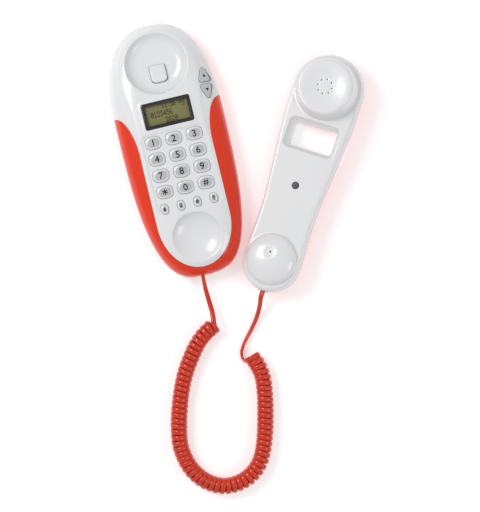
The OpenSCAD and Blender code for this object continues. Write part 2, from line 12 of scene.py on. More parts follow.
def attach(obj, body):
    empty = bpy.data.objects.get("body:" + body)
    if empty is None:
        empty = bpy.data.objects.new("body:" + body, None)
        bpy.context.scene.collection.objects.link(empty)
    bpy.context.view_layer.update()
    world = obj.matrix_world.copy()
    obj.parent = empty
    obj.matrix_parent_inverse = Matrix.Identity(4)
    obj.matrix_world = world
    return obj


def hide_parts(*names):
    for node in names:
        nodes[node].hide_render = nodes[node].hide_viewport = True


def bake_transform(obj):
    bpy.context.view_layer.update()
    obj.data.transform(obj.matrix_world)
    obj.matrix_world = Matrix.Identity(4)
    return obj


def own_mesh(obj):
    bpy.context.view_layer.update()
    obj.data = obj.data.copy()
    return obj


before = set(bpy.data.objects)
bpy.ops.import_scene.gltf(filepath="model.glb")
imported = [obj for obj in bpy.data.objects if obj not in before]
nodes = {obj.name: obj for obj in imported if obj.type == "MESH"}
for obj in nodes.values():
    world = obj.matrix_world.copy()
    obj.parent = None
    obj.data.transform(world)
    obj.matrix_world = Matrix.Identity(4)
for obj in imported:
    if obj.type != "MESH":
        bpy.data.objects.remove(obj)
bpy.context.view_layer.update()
MM = 0.001
scene = bpy.context.scene


# ---------------------------------------------------------------- camera

def look_down(place, turn_deg, lens):
    """A camera straight above a point, turned about the vertical."""
    data = bpy.data.cameras.new("camera")
    data.lens = lens
    data.sensor_width = 36
    data.clip_end = 20
    camera = bpy.data.objects.new("camera", data)
    camera.location = place
    camera.rotation_euler = (0, 0, math.radians(turn_deg))
    scene.collection.objects.link(camera)
    scene.camera = camera


CAMERA_PLACE, CAMERA_TURN, CAMERA_LENS = (0.0299, -0.0971, 1.21), -13.6, 102
look_down(CAMERA_PLACE, CAMERA_TURN, CAMERA_LENS)
scene.view_settings.view_transform = "Standard"
scene.view_settings.look = "None"


# ---------------------------------------------------------------- materials

def principled(name, colour, roughness, **sockets):
    """A material whose Principled shader has these values on its own sockets."""
    material = bpy.data.materials.new(name)
    material.use_nodes = True
    shader = material.node_tree.nodes["Principled BSDF"]
    shader.inputs["Base Color"].default_value = (*colour, 1)
    shader.inputs["Roughness"].default_value = roughness
    for socket, value in sockets.items():
        shader.inputs[socket.replace("_", " ")].default_value = value
    return material, shader


def textured(name, colour, other, roughness, grain_mm=0.5, cloud_mm=18, bump=0.02, spread=0.06, **sockets):
    """Moulded plastic, rubber or metal: a soft cloud between two near colours, with a fine grain
    that changes the roughness a little and makes a slight relief."""
    material, shader = principled(name, colour, roughness, **sockets)
    tree = material.node_tree
    place = tree.nodes.new("ShaderNodeTexCoord")
    cloud = tree.nodes.new("ShaderNodeTexNoise")
    cloud.inputs["Scale"].default_value = 1 / (cloud_mm * MM)
    cloud.inputs["Detail"].default_value = 3
    mix = tree.nodes.new("ShaderNodeMix")
    mix.data_type = "RGBA"
    mix.inputs["A"].default_value = (*colour, 1)
    mix.inputs["B"].default_value = (*other, 1)
    grain = tree.nodes.new("ShaderNodeTexNoise")
    grain.inputs["Scale"].default_value = 1 / (grain_mm * MM)
    grain.inputs["Detail"].default_value = 2
    rough = tree.nodes.new("ShaderNodeMapRange")
    rough.inputs["To Min"].default_value = max(0.02, roughness - spread)
    rough.inputs["To Max"].default_value = roughness + spread
    relief = tree.nodes.new("ShaderNodeBump")
    relief.inputs["Strength"].default_value = bump
    relief.inputs["Distance"].default_value = 0.0002
    link = tree.links.new
    link(place.outputs["Object"], cloud.inputs["Vector"])
    link(place.outputs["Object"], grain.inputs["Vector"])
    link(cloud.outputs["Fac"], mix.inputs["Factor"])
    link(mix.outputs["Result"], shader.inputs["Base Color"])
    link(grain.outputs["Fac"], rough.inputs["Value"])
    link(rough.outputs["Result"], shader.inputs["Roughness"])
    link(grain.outputs["Fac"], relief.inputs["Height"])
    link(relief.outputs["Normal"], shader.inputs["Normal"])
    return material


WHITE = textured("white_gloss", (0.775, 0.78, 0.79), (0.75, 0.757, 0.768), 0.25, Coat_Weight=0.3,
                 Coat_Roughness=0.08)
ORANGE = textured("orange_gloss", (0.78, 0.034, 0.003), (0.73, 0.030, 0.002), 0.24, Coat_Weight=0.4,
                  Coat_Roughness=0.05, Specular_IOR_Level=0.3)
CORD = textured("cord_vinyl", (0.64, 0.036, 0.010), (0.58, 0.030, 0.008), 0.26, grain_mm=0.8, cloud_mm=30,
                bump=0.05, Coat_Weight=0.35, Coat_Roughness=0.1, Specular_IOR_Level=0.35)
KEY = textured("key_cap_grey", (0.50, 0.51, 0.53), (0.46, 0.47, 0.49), 0.2, Coat_Weight=0.5,
               Coat_Roughness=0.05)
KEY_RIM = textured("key_clear_rim", (0.74, 0.75, 0.77), (0.70, 0.71, 0.73), 0.12, Coat_Weight=0.7,
                   Coat_Roughness=0.03)
ARROW = textured("arrow_cap_grey", (0.56, 0.56, 0.585), (0.51, 0.51, 0.535), 0.25, Coat_Weight=0.3,
                 Coat_Roughness=0.1)
PRINT = textured("key_print", (0.012, 0.013, 0.017), (0.018, 0.019, 0.024), 0.7, Specular_IOR_Level=0.1)
FRAME = textured("display_frame_black", (0.006, 0.006, 0.007), (0.010, 0.010, 0.011), 0.16, Coat_Weight=0.6,
                 Coat_Roughness=0.03)
LCD = textured("display_liquid_crystal", (0.215, 0.195, 0.055), (0.185, 0.170, 0.045), 0.3, cloud_mm=10,
               grain_mm=0.25)
SEGMENT = textured("display_dots", (0.010, 0.011, 0.005), (0.016, 0.017, 0.008), 0.7, Specular_IOR_Level=0.1)
DARK = textured("dark_plastic", (0.030, 0.030, 0.032), (0.045, 0.045, 0.048), 0.38, bump=0.06)
PLUG_GREY = textured("screw_plug_grey", (0.070, 0.072, 0.076), (0.060, 0.062, 0.066), 0.42, bump=0.08)
MAT = textured("keypad_silicone", (0.55, 0.555, 0.57), (0.50, 0.505, 0.52), 0.6, grain_mm=0.3, bump=0.1)
RUBBER = textured("rubber", (0.022, 0.022, 0.023), (0.032, 0.032, 0.033), 0.72, grain_mm=0.3, bump=0.25)
BOARD = textured("circuit_board_green", (0.020, 0.110, 0.045), (0.015, 0.085, 0.035), 0.4, cloud_mm=4)
STEEL = textured("steel", (0.60, 0.60, 0.61), (0.52, 0.52, 0.54), 0.28, Metallic=1.0)
BRASS = textured("brass", (0.72, 0.52, 0.22), (0.62, 0.44, 0.18), 0.3, Metallic=1.0)
SLEEVE = textured("battery_sleeve", (0.09, 0.11, 0.14), (0.07, 0.09, 0.12), 0.3)
INNER_WHITE = textured("inner_white", (0.70, 0.705, 0.72), (0.66, 0.665, 0.68), 0.45, bump=0.06)
CLEAR_PLUG = textured("clear_plug", (0.75, 0.76, 0.78), (0.70, 0.71, 0.73), 0.1, Transmission_Weight=0.6,
                      IOR=1.5)
LENS = textured("display_lens_clear", (0.5, 0.5, 0.45), (0.45, 0.45, 0.4), 0.05, spread=0.02, Alpha=0.05)


def floor_material():
    """Pale paper that glows a little, as a light table does."""
    material, shader = principled("floor_white", (0.70, 0.70, 0.705), 0.8)
    shader.inputs["Emission Color"].default_value = (1, 1, 1, 1)
    shader.inputs["Emission Strength"].default_value = 0.45
    return material


# ---------------------------------------------------------------- mesh helpers

def make_piece(name, mesh, materials, body, replaced=(), place=None):
    """A smooth-shaded piece that rides on a body and stands for some CAD nodes. Takes a bmesh in mm."""
    data = bpy.data.meshes.new(name)
    mesh.normal_update()
    mesh.to_mesh(data)
    mesh.free()
    if place is not None:
        data.transform(place)
    data.transform(Matrix.Scale(MM, 4))
    for polygon in data.polygons:
        polygon.use_smooth = True
    for material in materials:
        data.materials.append(material)
    piece = bpy.data.objects.new(name, data)
    scene.collection.objects.link(piece)
    if body:
        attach(piece, body)
    if replaced:
        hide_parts(*replaced)
    return piece


def unit(vectors):
    """Vectors of the same directions, one long."""
    return vectors / (np.linalg.norm(vectors, axis=-1, keepdims=True) + 1e-12)


def along_line(points):
    """How far along a line of points each one is."""
    return np.concatenate([[0], np.cumsum(np.linalg.norm(np.diff(points, axis=0), axis=1))])


def read_off(points, along, at):
    """The values of points, which are at distances along, read off at other distances."""
    return np.column_stack([np.interp(at, along, values) for values in points.T])


def even_loop(loop, count):
    """A closed loop of this many points at even steps along it."""
    closed = np.vstack([loop, loop[:1]])
    along = along_line(closed)
    return read_off(closed, along, np.linspace(0, along[-1], count, endpoint=False))


def resample(loop, step):
    """A closed loop of points at even steps of about this length."""
    loop = np.asarray(loop, float)
    around = along_line(np.vstack([loop, loop[:1]]))[-1]
    return even_loop(loop, max(8, int(round(around / step))))


def resample_open(line, step):
    """An open line of points at even steps of about this length."""
    line = np.asarray(line, float)
    along = along_line(line)
    return read_off(line, along, np.linspace(0, along[-1], max(2, int(along[-1] / step))))


def shrink_loop(loop, distance):
    """A loop moved in by a distance, or out where it is negative."""
    loop = np.asarray(loop, float)
    before, after = loop - np.roll(loop, 1, axis=0), np.roll(loop, -1, axis=0) - loop
    before /= np.linalg.norm(before, axis=1)[:, None] + 1e-12
    after /= np.linalg.norm(after, axis=1)[:, None] + 1e-12
    bisector = before + after
    bisector /= np.linalg.norm(bisector, axis=1)[:, None] + 1e-12
    cosine = np.clip((bisector * before).sum(1), 0.6, 1)
    area = (loop[:, 0] * np.roll(loop[:, 1], -1) - np.roll(loop[:, 0], -1) * loop[:, 1]).sum()
    inward = np.column_stack([-bisector[:, 1], bisector[:, 0]]) * np.sign(area)
    return loop + inward * (distance / cosine)[:, None]


def split_edges(loop, step):
    """A loop with points added along its long edges; its corners stay."""
    pieces = []
    for start, end in zip(loop, np.roll(loop, -1, axis=0)):
        count = max(1, math.ceil(np.linalg.norm(end - start) / step))
        pieces.append(start + (end - start) * (np.arange(count) / count)[:, None])
    return np.vstack(pieces)


def inside(points, loops):
    """Which points lie inside a set of closed loops, by the even-odd rule."""
    odd = np.zeros(len(points), bool)
    x, y = points[:, 0], points[:, 1]
    for loop in loops:
        for (ax, ay), (bx, by) in zip(loop, np.roll(loop, -1, axis=0)):
            if ay == by:
                continue
            crosses = (ay > y) != (by > y)
            odd ^= crosses & (x < (bx - ax) * (y - ay) / (by - ay) + ax)
    return odd


def grid_inside(loops, step):
    """Staggered rows of points that fill what lies between closed loops."""
    low, high = np.min(np.vstack(loops), axis=0), np.max(np.vstack(loops), axis=0)
    rows = []
    for k, y in enumerate(np.arange(low[1], high[1], step * 0.866)):
        x = np.arange(low[0] + (k % 2) * step / 2, high[0], step)
        rows.append(np.column_stack([x, np.full(len(x), y)]))
    grid = np.vstack(rows)
    return grid[inside(grid, loops)]


def away_from(grid, lines, step):
    """The grid's points that aren't crowded by any of the lines."""
    dense = np.vstack([resample(line, step / 3) for line in lines])
    tree = kdtree.KDTree(len(dense))
    for k, (x, y) in enumerate(dense):
        tree.insert((x, y, 0), k)
    tree.balance()
    return grid[[tree.find((x, y, 0))[2] > 0.62 * step for x, y in grid]]


def fill(loops, step, guides=()):
    """Triangles that fill what lies between closed loops in plan. Guides are loops that edges follow.
    Gives the points, the triangles and, for each loop, where its points are."""
    loops = [np.asarray(loop, float) for loop in loops]
    lines = loops + [np.asarray(guide, float) for guide in guides]
    grid = away_from(grid_inside(loops, step), lines, step)
    edges, first = [], 0
    for line in lines:
        edges += [(first + k, first + (k + 1) % len(line)) for k in range(len(line))]
        first += len(line)
    found = delaunay_2d_cdt([Vector(p) for p in np.vstack(lines + [grid])], edges, [], 0, 1e-6)
    plan = np.array([tuple(p) for p in found[0]])
    triangles = np.array([tuple(t) for t in found[2]])
    triangles = triangles[inside(plan[triangles].mean(axis=1), loops)]
    a, b, c = (plan[triangles[:, k]] for k in range(3))
    turn = np.cross(b - a, c - a)
    real = np.abs(turn) > 1e-7
    triangles, turn = triangles[real], turn[real]
    triangles[turn < 0] = triangles[turn < 0][:, ::-1]
    where = {old: new for new, olds in enumerate(found[3]) for old in olds}
    rings, first = [], 0
    for loop in loops:
        rings.append([where[first + k] for k in range(len(loop))])
        first += len(loop)
    return plan, triangles, rings


def add_surface(mesh, points, triangles, rings, facing_down=False, material=0):
    """Adds filled points, now in space, to a mesh, and gives back the rings' vertices."""
    used = sorted(set(triangles.ravel()))
    made = {k: mesh.verts.new(points[k]) for k in used}
    for triangle in triangles:
        corners = [made[k] for k in (triangle[::-1] if facing_down else triangle)]
        mesh.faces.new(corners).material_index = material
    return [[made[k] for k in ring if k in made] for ring in rings]


def bridge(mesh, ring, points, closed=True, material=0):
    """Joins a ring of vertices to new ones at points, with faces that turn the way of their neighbours."""
    new = [mesh.verts.new(p) for p in points]
    count = len(ring)
    for k in range(count if closed else count - 1):
        a, b, c, d = ring[k], ring[(k + 1) % count], new[(k + 1) % count], new[k]
        edge = mesh.edges.get((a, b))
        same_way = edge is not None and any(loop.vert == a for loop in edge.link_loops)
        mesh.faces.new((b, a, d, c) if same_way else (a, b, c, d)).material_index = material
    return new


def add_rim(mesh, ring, radius, depth, up=None, steps=4, closed=True, material=0):
    """Rounds a surface's edge over by a radius, and takes it on as a wall. The wall goes down against
    the way up. Where none is given, that is the surface's own normal, evened out along the edge."""
    points = np.array([v.co for v in ring])
    if up is None:
        mesh.normal_update()
        up = np.array([v.normal for v in ring])
        for _ in range(10):
            middle = up[:-2] + 2 * up[1:-1] + up[2:]
            up[1:-1] = middle / np.linalg.norm(middle, axis=1)[:, None]
    else:
        up = np.tile(np.asarray(up, float), (len(ring), 1))
    along = np.roll(points, -1, axis=0) - np.roll(points, 1, axis=0)
    if not closed:
        along[0], along[-1] = points[1] - points[0], points[-1] - points[-2]
    away = np.cross(along, up)
    away /= np.linalg.norm(away, axis=1)[:, None] + 1e-12
    centres = np.array([np.mean([f.calc_center_median() for f in v.link_faces], axis=0) for v in ring])
    away *= np.sign(((points - centres) * away).sum(1).sum())
    for k in range(1, steps + 1):
        angle = math.pi / 2 * k / steps
        step = radius * (math.sin(angle) * away - (1 - math.cos(angle)) * up)
        ring = bridge(mesh, ring, points + step, closed, material)
    return bridge(mesh, ring, points + radius * away - (radius + depth) * up, closed, material)


def loft(mesh, rings, cap_first=False, cap_last=False):
    """Quads through closed rings of points that have the same number of points."""
    made = [[mesh.verts.new(p) for p in ring] for ring in rings]
    for lower, upper in zip(made, made[1:]):
        for k in range(len(lower)):
            j = (k + 1) % len(lower)
            mesh.faces.new((lower[k], lower[j], upper[j], upper[k]))
    if cap_first:
        mesh.faces.new(made[0][::-1])
    if cap_last:
        mesh.faces.new(made[-1])


def ring_of(plan, height):
    """Points in space above a plan, at one height or at one for each."""
    plan = np.asarray(plan, float)
    return np.column_stack([plan, np.broadcast_to(height, len(plan))])


def circle(centre, radius, count):
    """Points round a circle in plan."""
    angles = np.linspace(0, 2 * math.pi, count, endpoint=False)
    return np.asarray(centre) + radius * np.column_stack([np.cos(angles), np.sin(angles)])


def super_ring(centre, half, power, count):
    """A super-ellipse: an oval whose sides are flatter where the power is higher."""
    angles = np.linspace(0, 2 * math.pi, count, endpoint=False)
    c, s = np.cos(angles), np.sin(angles)
    return np.column_stack([centre[0] + half[0] * np.sign(c) * np.abs(c) ** (2 / power),
                            centre[1] + half[1] * np.sign(s) * np.abs(s) ** (2 / power)])


def round_box(centre, size, radius, steps=6):
    """A rectangle with round corners, as points with even sides."""
    w, h = size[0] / 2 - radius, size[1] / 2 - radius
    points = []
    for x, y, start in ((w, h, 0), (-w, h, 90), (-w, -h, 180), (w, -h, 270)):
        for k in range(steps + 1):
            angle = math.radians(start + 90 * k / steps)
            points.append((x + radius * math.cos(angle), y + radius * math.sin(angle)))
    return np.array(points) + centre


def smooth_step(value, low, high):
    """0 below low, 1 above high, and an even S in between."""
    u = np.clip((value - low) / (high - low), 0, 1)
    return u * u * (3 - 2 * u)


def smooth_min(a, b, softness):
    """The lower of two heights, with a rounded edge where they cross."""
    h = np.clip(softness - np.abs(a - b), 0, None) / softness
    return np.minimum(a, b) - h * h * softness / 4


def box_distance(points, centre, size, radius):
    """How far points lie outside a rectangle with round corners; less than 0 inside it."""
    q = np.abs(points - np.asarray(centre)) - np.asarray(size) / 2 + radius
    return np.linalg.norm(np.maximum(q, 0), axis=1) + np.minimum(q.max(axis=1), 0) - radius


class RoundOver:
    """A quarter-elliptic edge, measured along the surface from its outline: s is the way along, inset
    how far in from the outline, rise how far up from it."""

    def __init__(self, inset, rise):
        angles = np.linspace(0, math.pi / 2, 600)
        self.inset_table = inset * (1 - np.cos(angles))
        self.rise_table = rise * np.sin(angles)
        steps = np.hypot(np.diff(self.inset_table), np.diff(self.rise_table))
        self.s_table = np.concatenate([[0], np.cumsum(steps)])
        self.length, self.inset = self.s_table[-1], inset

    def inset_at(self, s):
        """The inset at a way s along the surface, which goes on level past the edge."""
        return np.where(s < self.length, np.interp(s, self.s_table, self.inset_table),
                        s - self.length + self.inset)

    def rise_at(self, s):
        """The rise at a way s along the surface."""
        return np.interp(s, self.s_table, self.rise_table)

    def s_at(self, inset):
        """The way along the surface at an inset."""
        return np.where(inset < self.inset, np.interp(inset, self.inset_table, self.s_table),
                        inset - self.inset + self.length)


# ---------------------------------------------------------------- the base's form

# The base is widest at WIDEST_Y; the outline runs round it at the height WIDEST_Z
HALF_WIDTH, WIDEST_Y, WIDEST_Z = 45.0, 25.0, 11.0
UPPER_REACH, LOWER_REACH = 81.0, 131.0
UPPER_POWER, LOWER_POWER = 2.5, 3.0
TOP_Z = 28.0
EAR_Y, EAR_RADIUS, EAR_FLOOR_RADIUS, EAR_DEPTH = 72.5, 25.8, 14.5, 9.0
MOUTH_Y, MOUTH_RADIUS, MOUTH_DEPTH = -74.0, 20.6, 6.6
RIDGE_DROP, RAISED_BY, PANEL_DEPTH = 0.75, 0.45, 0.5
# Rectangular reliefs, as centre, size and corner: the keys' panel, the display's frame, the back's pad
PANEL, PANEL_CORNER = ((0, -17.4), (52.8, 65.8)), 5
RAISED, RAISED_CORNER = ((0, 30.4), (44.6, 25.8)), 3.5
BACK_PAD, BACK_PAD_CORNER = ((0, 3), (28, 102)), 6
SEAM, SEAM_ROUND = 0.15, 0.28
FLARE_LENGTH = 35.5


def reach_and_power(y):
    """How far the outline's half goes from the widest line, and its power."""
    above = y > WIDEST_Y
    return np.where(above, UPPER_REACH, LOWER_REACH), np.where(above, UPPER_POWER, LOWER_POWER)


class EggShape:
    """The base's outline as a family of super-ellipses, one for each inset. The flat plan has the same
    family stretched out, so that a step on it is as long as the step on the curved surface."""

    def __init__(self, edge):
        self.edge = edge
        self.extra = edge.length - edge.inset

    def level(self, x, y, growth_at, top):
        """The level from 0 to top whose super-ellipse, grown by growth_at of it, goes through each point."""
        reach, power = reach_and_power(y)
        low, high = np.full(len(x), -3.0), np.full(len(x), top)
        for _ in range(40):
            middle = (low + high) / 2
            growth = growth_at(middle)
            total = (np.abs(x) / (HALF_WIDTH + growth)) ** power
            total += (np.abs(y - WIDEST_Y) / (reach + growth)) ** power
            outside = total > 1
            high = np.where(outside, middle, high)
            low = np.where(outside, low, middle)
        return (low + high) / 2, reach

    def to_space(self, flat):
        """Flat plan to real plan, and how far along the surface each point is from the outline."""
        x, y = flat[:, 0], flat[:, 1]
        s, reach = self.level(x, y, lambda level: self.extra - level, self.edge.length)
        inset = self.edge.inset_at(np.maximum(s, 0))
        real_x = x * (HALF_WIDTH - inset) / (HALF_WIDTH + self.extra - s)
        real_y = WIDEST_Y + (y - WIDEST_Y) * (reach - inset) / (reach + self.extra - s)
        return np.column_stack([real_x, real_y]), s

    def to_flat(self, real):
        """Real plan to flat plan."""
        real = np.asarray(real, float)
        x, y = real[:, 0], real[:, 1]
        inset, reach = self.level(x, y, lambda level: -level, self.edge.inset)
        s = self.edge.s_at(inset)
        flat_x = x * (HALF_WIDTH + self.extra - s) / (HALF_WIDTH - inset)
        flat_y = WIDEST_Y + (y - WIDEST_Y) * (reach + self.extra - s) / (reach - inset)
        return np.column_stack([flat_x, flat_y])


TOP_EDGE, BACK_EDGE = RoundOver(24, 17), RoundOver(9, 9.5)
TOP, BACK = EggShape(TOP_EDGE), EggShape(BACK_EDGE)


def outline_at(x, edge, s):
    """The point of the outline's level s that has this x, on the mouth side."""
    inset = float(edge.inset_at(np.array([s]))[0])
    share = 1 - (abs(x) / (HALF_WIDTH - inset)) ** LOWER_POWER
    return (x, WIDEST_Y - (LOWER_REACH - inset) * share ** (1 / LOWER_POWER))


def seam_curve(gap):
    """The open curve of the seam in plan, from the right flare's top round the tongue to the left one."""
    half, bottom = 30.5 - gap, 38.5 - gap
    flare = [(half + 14 * (1 - math.cos(a)), FLARE_LENGTH * math.sin(a) + gap)
             for a in np.linspace(math.pi / 2, 0, 40)]
    tongue = [(half * math.cos(a), -60 + bottom * math.sin(a)) for a in np.linspace(0, -math.pi, 90)]
    return resample_open(flare + tongue + [(-x, y) for x, y in flare[::-1]], 1.2)


def flare_turn(gap):
    """The outline's parameter, in degrees, at the top of a flare that is moved up by a gap."""
    return math.degrees(math.asin(((FLARE_LENGTH + gap - WIDEST_Y) / UPPER_REACH) ** (UPPER_POWER / 2)))


def outline_arc(from_t, to_t, count):
    """Points of the outline between two of the super-ellipse's parameters, in degrees."""
    points = []
    for t in np.radians(np.linspace(from_t, to_t, count)):
        reach, power = (UPPER_REACH, UPPER_POWER) if math.sin(t) > 0 else (LOWER_REACH, LOWER_POWER)
        c, s = math.cos(t), math.sin(t)
        points.append((HALF_WIDTH * math.copysign(abs(c) ** (2 / power), c),
                       WIDEST_Y + reach * math.copysign(abs(s) ** (2 / power), s)))
    return np.array(points)


def on_outline(points):
    """Points close to the outline, moved straight out or in until they are on it."""
    reach, power = reach_and_power(np.asarray(points)[:, 1])
    away = np.asarray(points, float) - (0, WIDEST_Y)
    total = (np.abs(away[:, 0]) / HALF_WIDTH) ** power + (np.abs(away[:, 1]) / reach) ** power
    return away * (total ** (-1 / power))[:, None] + (0, WIDEST_Y)


def past_ridge(real, s):
    """0 inside the soft ridge that frames the recess and the keys, 1 well outside it."""
    x, y = np.abs(real[:, 0]), real[:, 1]
    half_width = 27.0 + 4.4 * smooth_step(y, 28, 62)
    beyond = np.where(y > 68, np.hypot(x, y - 68) - 31.4, x - half_width)
    return smooth_step(s, 2, 14) * smooth_step(beyond, 0.2, 3.6) * smooth_step(y, -20, 12)


def ear_recess(real):
    """The height of the ear recess, flat in its middle; beyond its edge it rises out of the way."""
    away = np.hypot(real[:, 0], real[:, 1] - EAR_Y)
    share = np.clip((away - EAR_FLOOR_RADIUS) / (EAR_RADIUS - EAR_FLOOR_RADIUS), 0, 1)
    return TOP_Z - EAR_DEPTH * np.sqrt(1 - share ** 2.1) + np.maximum(away - EAR_RADIUS, 0) * 6


def mouth_bowl(real):
    """The height of the mouth bowl, which beyond its edge rises out of the way as well."""
    away = np.hypot(real[:, 0], real[:, 1] - MOUTH_Y)
    share = np.clip(away / MOUTH_RADIUS, 0, 1)
    bowl = TOP_Z - 0.5 - MOUTH_DEPTH * (1 - share ** 2.3) ** 0.75
    return bowl + np.maximum(away - MOUTH_RADIUS, 0) * 5


def top_height(real, s):
    """The height of the base's face: its rounded form, a soft ridge that frames the recess and the
    keys, the raised frame of the display, the sunk key panel and the two hollows of the cradle."""
    z = WIDEST_Z + TOP_EDGE.rise_at(s) - RIDGE_DROP * past_ridge(real, s)
    around = box_distance(real, *RAISED, RAISED_CORNER)
    z = z + RAISED_BY * (1 - smooth_step(around, -1.1, 0.5)) * smooth_step(s, 20, 26)
    panel = box_distance(real, *PANEL, PANEL_CORNER)
    z = z - PANEL_DEPTH * (1 - smooth_step(panel, -0.3, 0.3))
    return smooth_min(smooth_min(z, ear_recess(real), 1.6), mouth_bowl(real), 1.4)


def top_points(flat):
    """The base's face in space, from its flat plan."""
    real, s = TOP.to_space(flat)
    return np.column_stack([real, top_height(real, s)])


def arrow_plan(side, grow, count):
    """The rounded triangle of an arrow key: a hull of three circles."""
    foot = 47.5 + side * 0.9
    corners = [(32.7, foot + side * 1.8, 1.8), (38.4, foot + side * 2, 2.0), (35.7, foot + side * 10.2, 1.6)]
    angles = np.radians(np.arange(0, 360, 2.0))
    rays = np.column_stack([np.cos(angles), np.sin(angles)])
    reach = np.array([rays @ np.array(c[:2]) + c[2] + grow for c in corners]).max(axis=0)
    points = []
    for k in range(len(angles)):
        a, b = rays[k], rays[(k + 1) % len(angles)]
        points.append(np.linalg.solve(np.array([a, b]), [reach[k], reach[(k + 1) % len(angles)]]))
    points = np.array(points)
    keep = np.linalg.norm(points - np.roll(points, 1, axis=0), axis=1) > 1e-4
    return resample(points[keep], 34.0 / count)


PLUNGER_Y = 64


def plunger_plan(grow):
    """The D of the hook plunger: nearly square at the top, round at the bottom."""
    w, h = 6.5 + grow, 7 + grow
    points = []
    for cx, cy, rx, ry, start in ((w - 1.5, h - 1.5, 1.5, 1.5, 0), (1.5 - w, h - 1.5, 1.5, 1.5, 90),
                                  (4 - w, 3 - h, 4, 3, 180), (w - 4, 3 - h, 4, 3, 270)):
        for k in range(9):
            angle = math.radians(start + 90 * k / 8)
            points.append((cx + rx * math.cos(angle), PLUNGER_Y + cy + ry * math.sin(angle)))
    return np.array(points)


SCREW_PLACES = ((15, 90), (-15, 90), (26.5, 18), (-26.5, 18))
FOOT_PLACES = ((25, -42), (-25, -42), (22, 72), (-22, 72))
KEY_SIGNS = "123456789*0#"
SIGN_NAMES = {"*": "star", "#": "hash"}
FUNCTION_X, FUNCTION_Y = (-20.7, -7.0, 6.7, 20.4), -45.7


def digit_place(number):
    """The middle of a digit key, counted from 0 along the rows."""
    return ((number % 3 - 1) * 17.2, 9 - 13.7 * (number // 3))


def box_guides(place, corner, steps, spacing):
    """Loops round the edge of a rectangular relief, so that edges of the mesh follow its slope."""
    centre, (width, height) = place
    return [resample(round_box(centre, (width + d, height + d), corner + d / 2), spacing) for d in steps]


def cover_guides():
    """Loops in the cover's flat plan that the edges of its recesses and reliefs follow."""
    rings = [circle((0, EAR_Y), radius, 150) for radius in (23.2, 24.3, 25.1, 25.7, 26.3, 27.2)]
    rings += [circle((0, MOUTH_Y), radius, 120) for radius in (18.6, 19.6, 20.3, 20.9, 21.7)]
    guides = [TOP.to_flat(ring) for ring in rings]
    guides += box_guides(PANEL, PANEL_CORNER, (-0.6, 0, 0.6), 1.1)
    return guides + box_guides(RAISED, RAISED_CORNER, (-1.8, -0.6, 0.6), 1.1)


def build_cover():
    """The white cover: the face with all its openings, each with a rounded lip."""
    lip = 0.25
    seam = TOP.to_flat(seam_curve(SEAM / 2))
    turn = flare_turn(SEAM / 2)
    ends = TOP.to_flat(outline_arc(180 - turn, turn, 210))
    outer = shrink_loop(resample(np.vstack([seam, ends]), 1.25), 0.3)
    openings = [super_ring(digit_place(k), (6.83 + lip, 5.43 + lip), 2.8, 44) for k in range(12)]
    openings += [super_ring((x, FUNCTION_Y), (3.28 + lip, 4.38 + lip), 2.3, 36) for x in FUNCTION_X]
    openings += [resample(round_box((0, 30.5), (40.8 + 2 * lip, 21.8 + 2 * lip), 1.6 + lip), 1.1)]
    openings += [resample(plunger_plan(0.3 + lip), 1.0)]
    openings += [resample(round_box((0, 48), (11.1, 2.1), 0.5), 0.7)]
    openings += [TOP.to_flat(arrow_plan(side, 0.3 + lip, 34)) for side in (-1, 1)]
    plan, triangles, rings = fill([outer, *openings], 1.25, cover_guides())
    mesh = bmesh.new()
    rings = add_surface(mesh, top_points(plan), triangles, rings)
    add_rim(mesh, rings[0], SEAM_ROUND, 1.6)
    for ring in rings[1:]:
        add_rim(mesh, ring, lip, 3.0, up=(0, 0, 1))
    make_piece("front_cover_shell", mesh, [WHITE], "base", ["front_cover"])


build_cover()


# The sockets for the line and for the handset's cord: from which x to which, and how far their
# openings reach along the surface, above and below the outline
SOCKETS = ((18.4, 4.6), (2.4, -9.4))
SOCKET_TOP_S, SOCKET_BACK_S = 3.6, 6.7


def socket_notch(from_x, to_x, edge, depth):
    """A notch in the outline for a socket's opening: straight sides and a level inner edge."""
    points = [outline_at(from_x, edge, s) for s in np.linspace(0, depth, 5)]
    points += [outline_at(x, edge, depth) for x in np.linspace(from_x, to_x, 12)[1:-1]]
    return points + [outline_at(to_x, edge, s) for s in np.linspace(depth, 0, 5)]


def lower_outline(shape, depth):
    """The outline from the right flare round the mouth end to the left one, in a flat plan, with the
    two sockets' notches in it."""
    turn = flare_turn(-SEAM / 2)
    points, notched = [], []
    for x, y in on_outline(resample_open(outline_arc(turn, -180 - turn, 420), 1.2)):
        near = [span for span in SOCKETS if y < -90 and span[1] - 0.4 < x < span[0] + 0.4]
        if not near:
            points.append((x, y))
        elif near[0] not in notched:
            notched.append(near[0])
            points += socket_notch(*near[0], shape.edge, depth)
    return shape.to_flat(np.array(points))


def back_height(real, s):
    """The height of the base's underside, with the raised pad that goes against a wall."""
    z = WIDEST_Z - BACK_EDGE.rise_at(s)
    pad = box_distance(real, *BACK_PAD, BACK_PAD_CORNER)
    return z - 1.5 * (1 - smooth_step(pad, -0.6, 0.3))


def back_points(flat):
    """The base's underside in space, from its flat plan."""
    real, s = BACK.to_space(flat)
    return np.column_stack([real, back_height(real, s)])


def door_loop(grow):
    """The battery door's edge in plan: straight at the top and sides, round with the base's end."""
    half, top, rise = 25.0 + grow, -52.6 + grow, 7.801
    s = float(np.interp(rise, BACK_EDGE.rise_table, BACK_EDGE.s_table)) - grow
    end = [outline_at(x, BACK_EDGE, s) for x in np.linspace(half, -half, 60)]
    return resample(np.vstack([[(-half, top), (half, top)], end]), 1.1)


def shrink_open(line, distance):
    """An open line moved to the side by a distance: towards the right of its way."""
    along = np.gradient(line, axis=0)
    along /= np.linalg.norm(along, axis=1)[:, None]
    return line + np.column_stack([along[:, 1], -along[:, 0]]) * distance


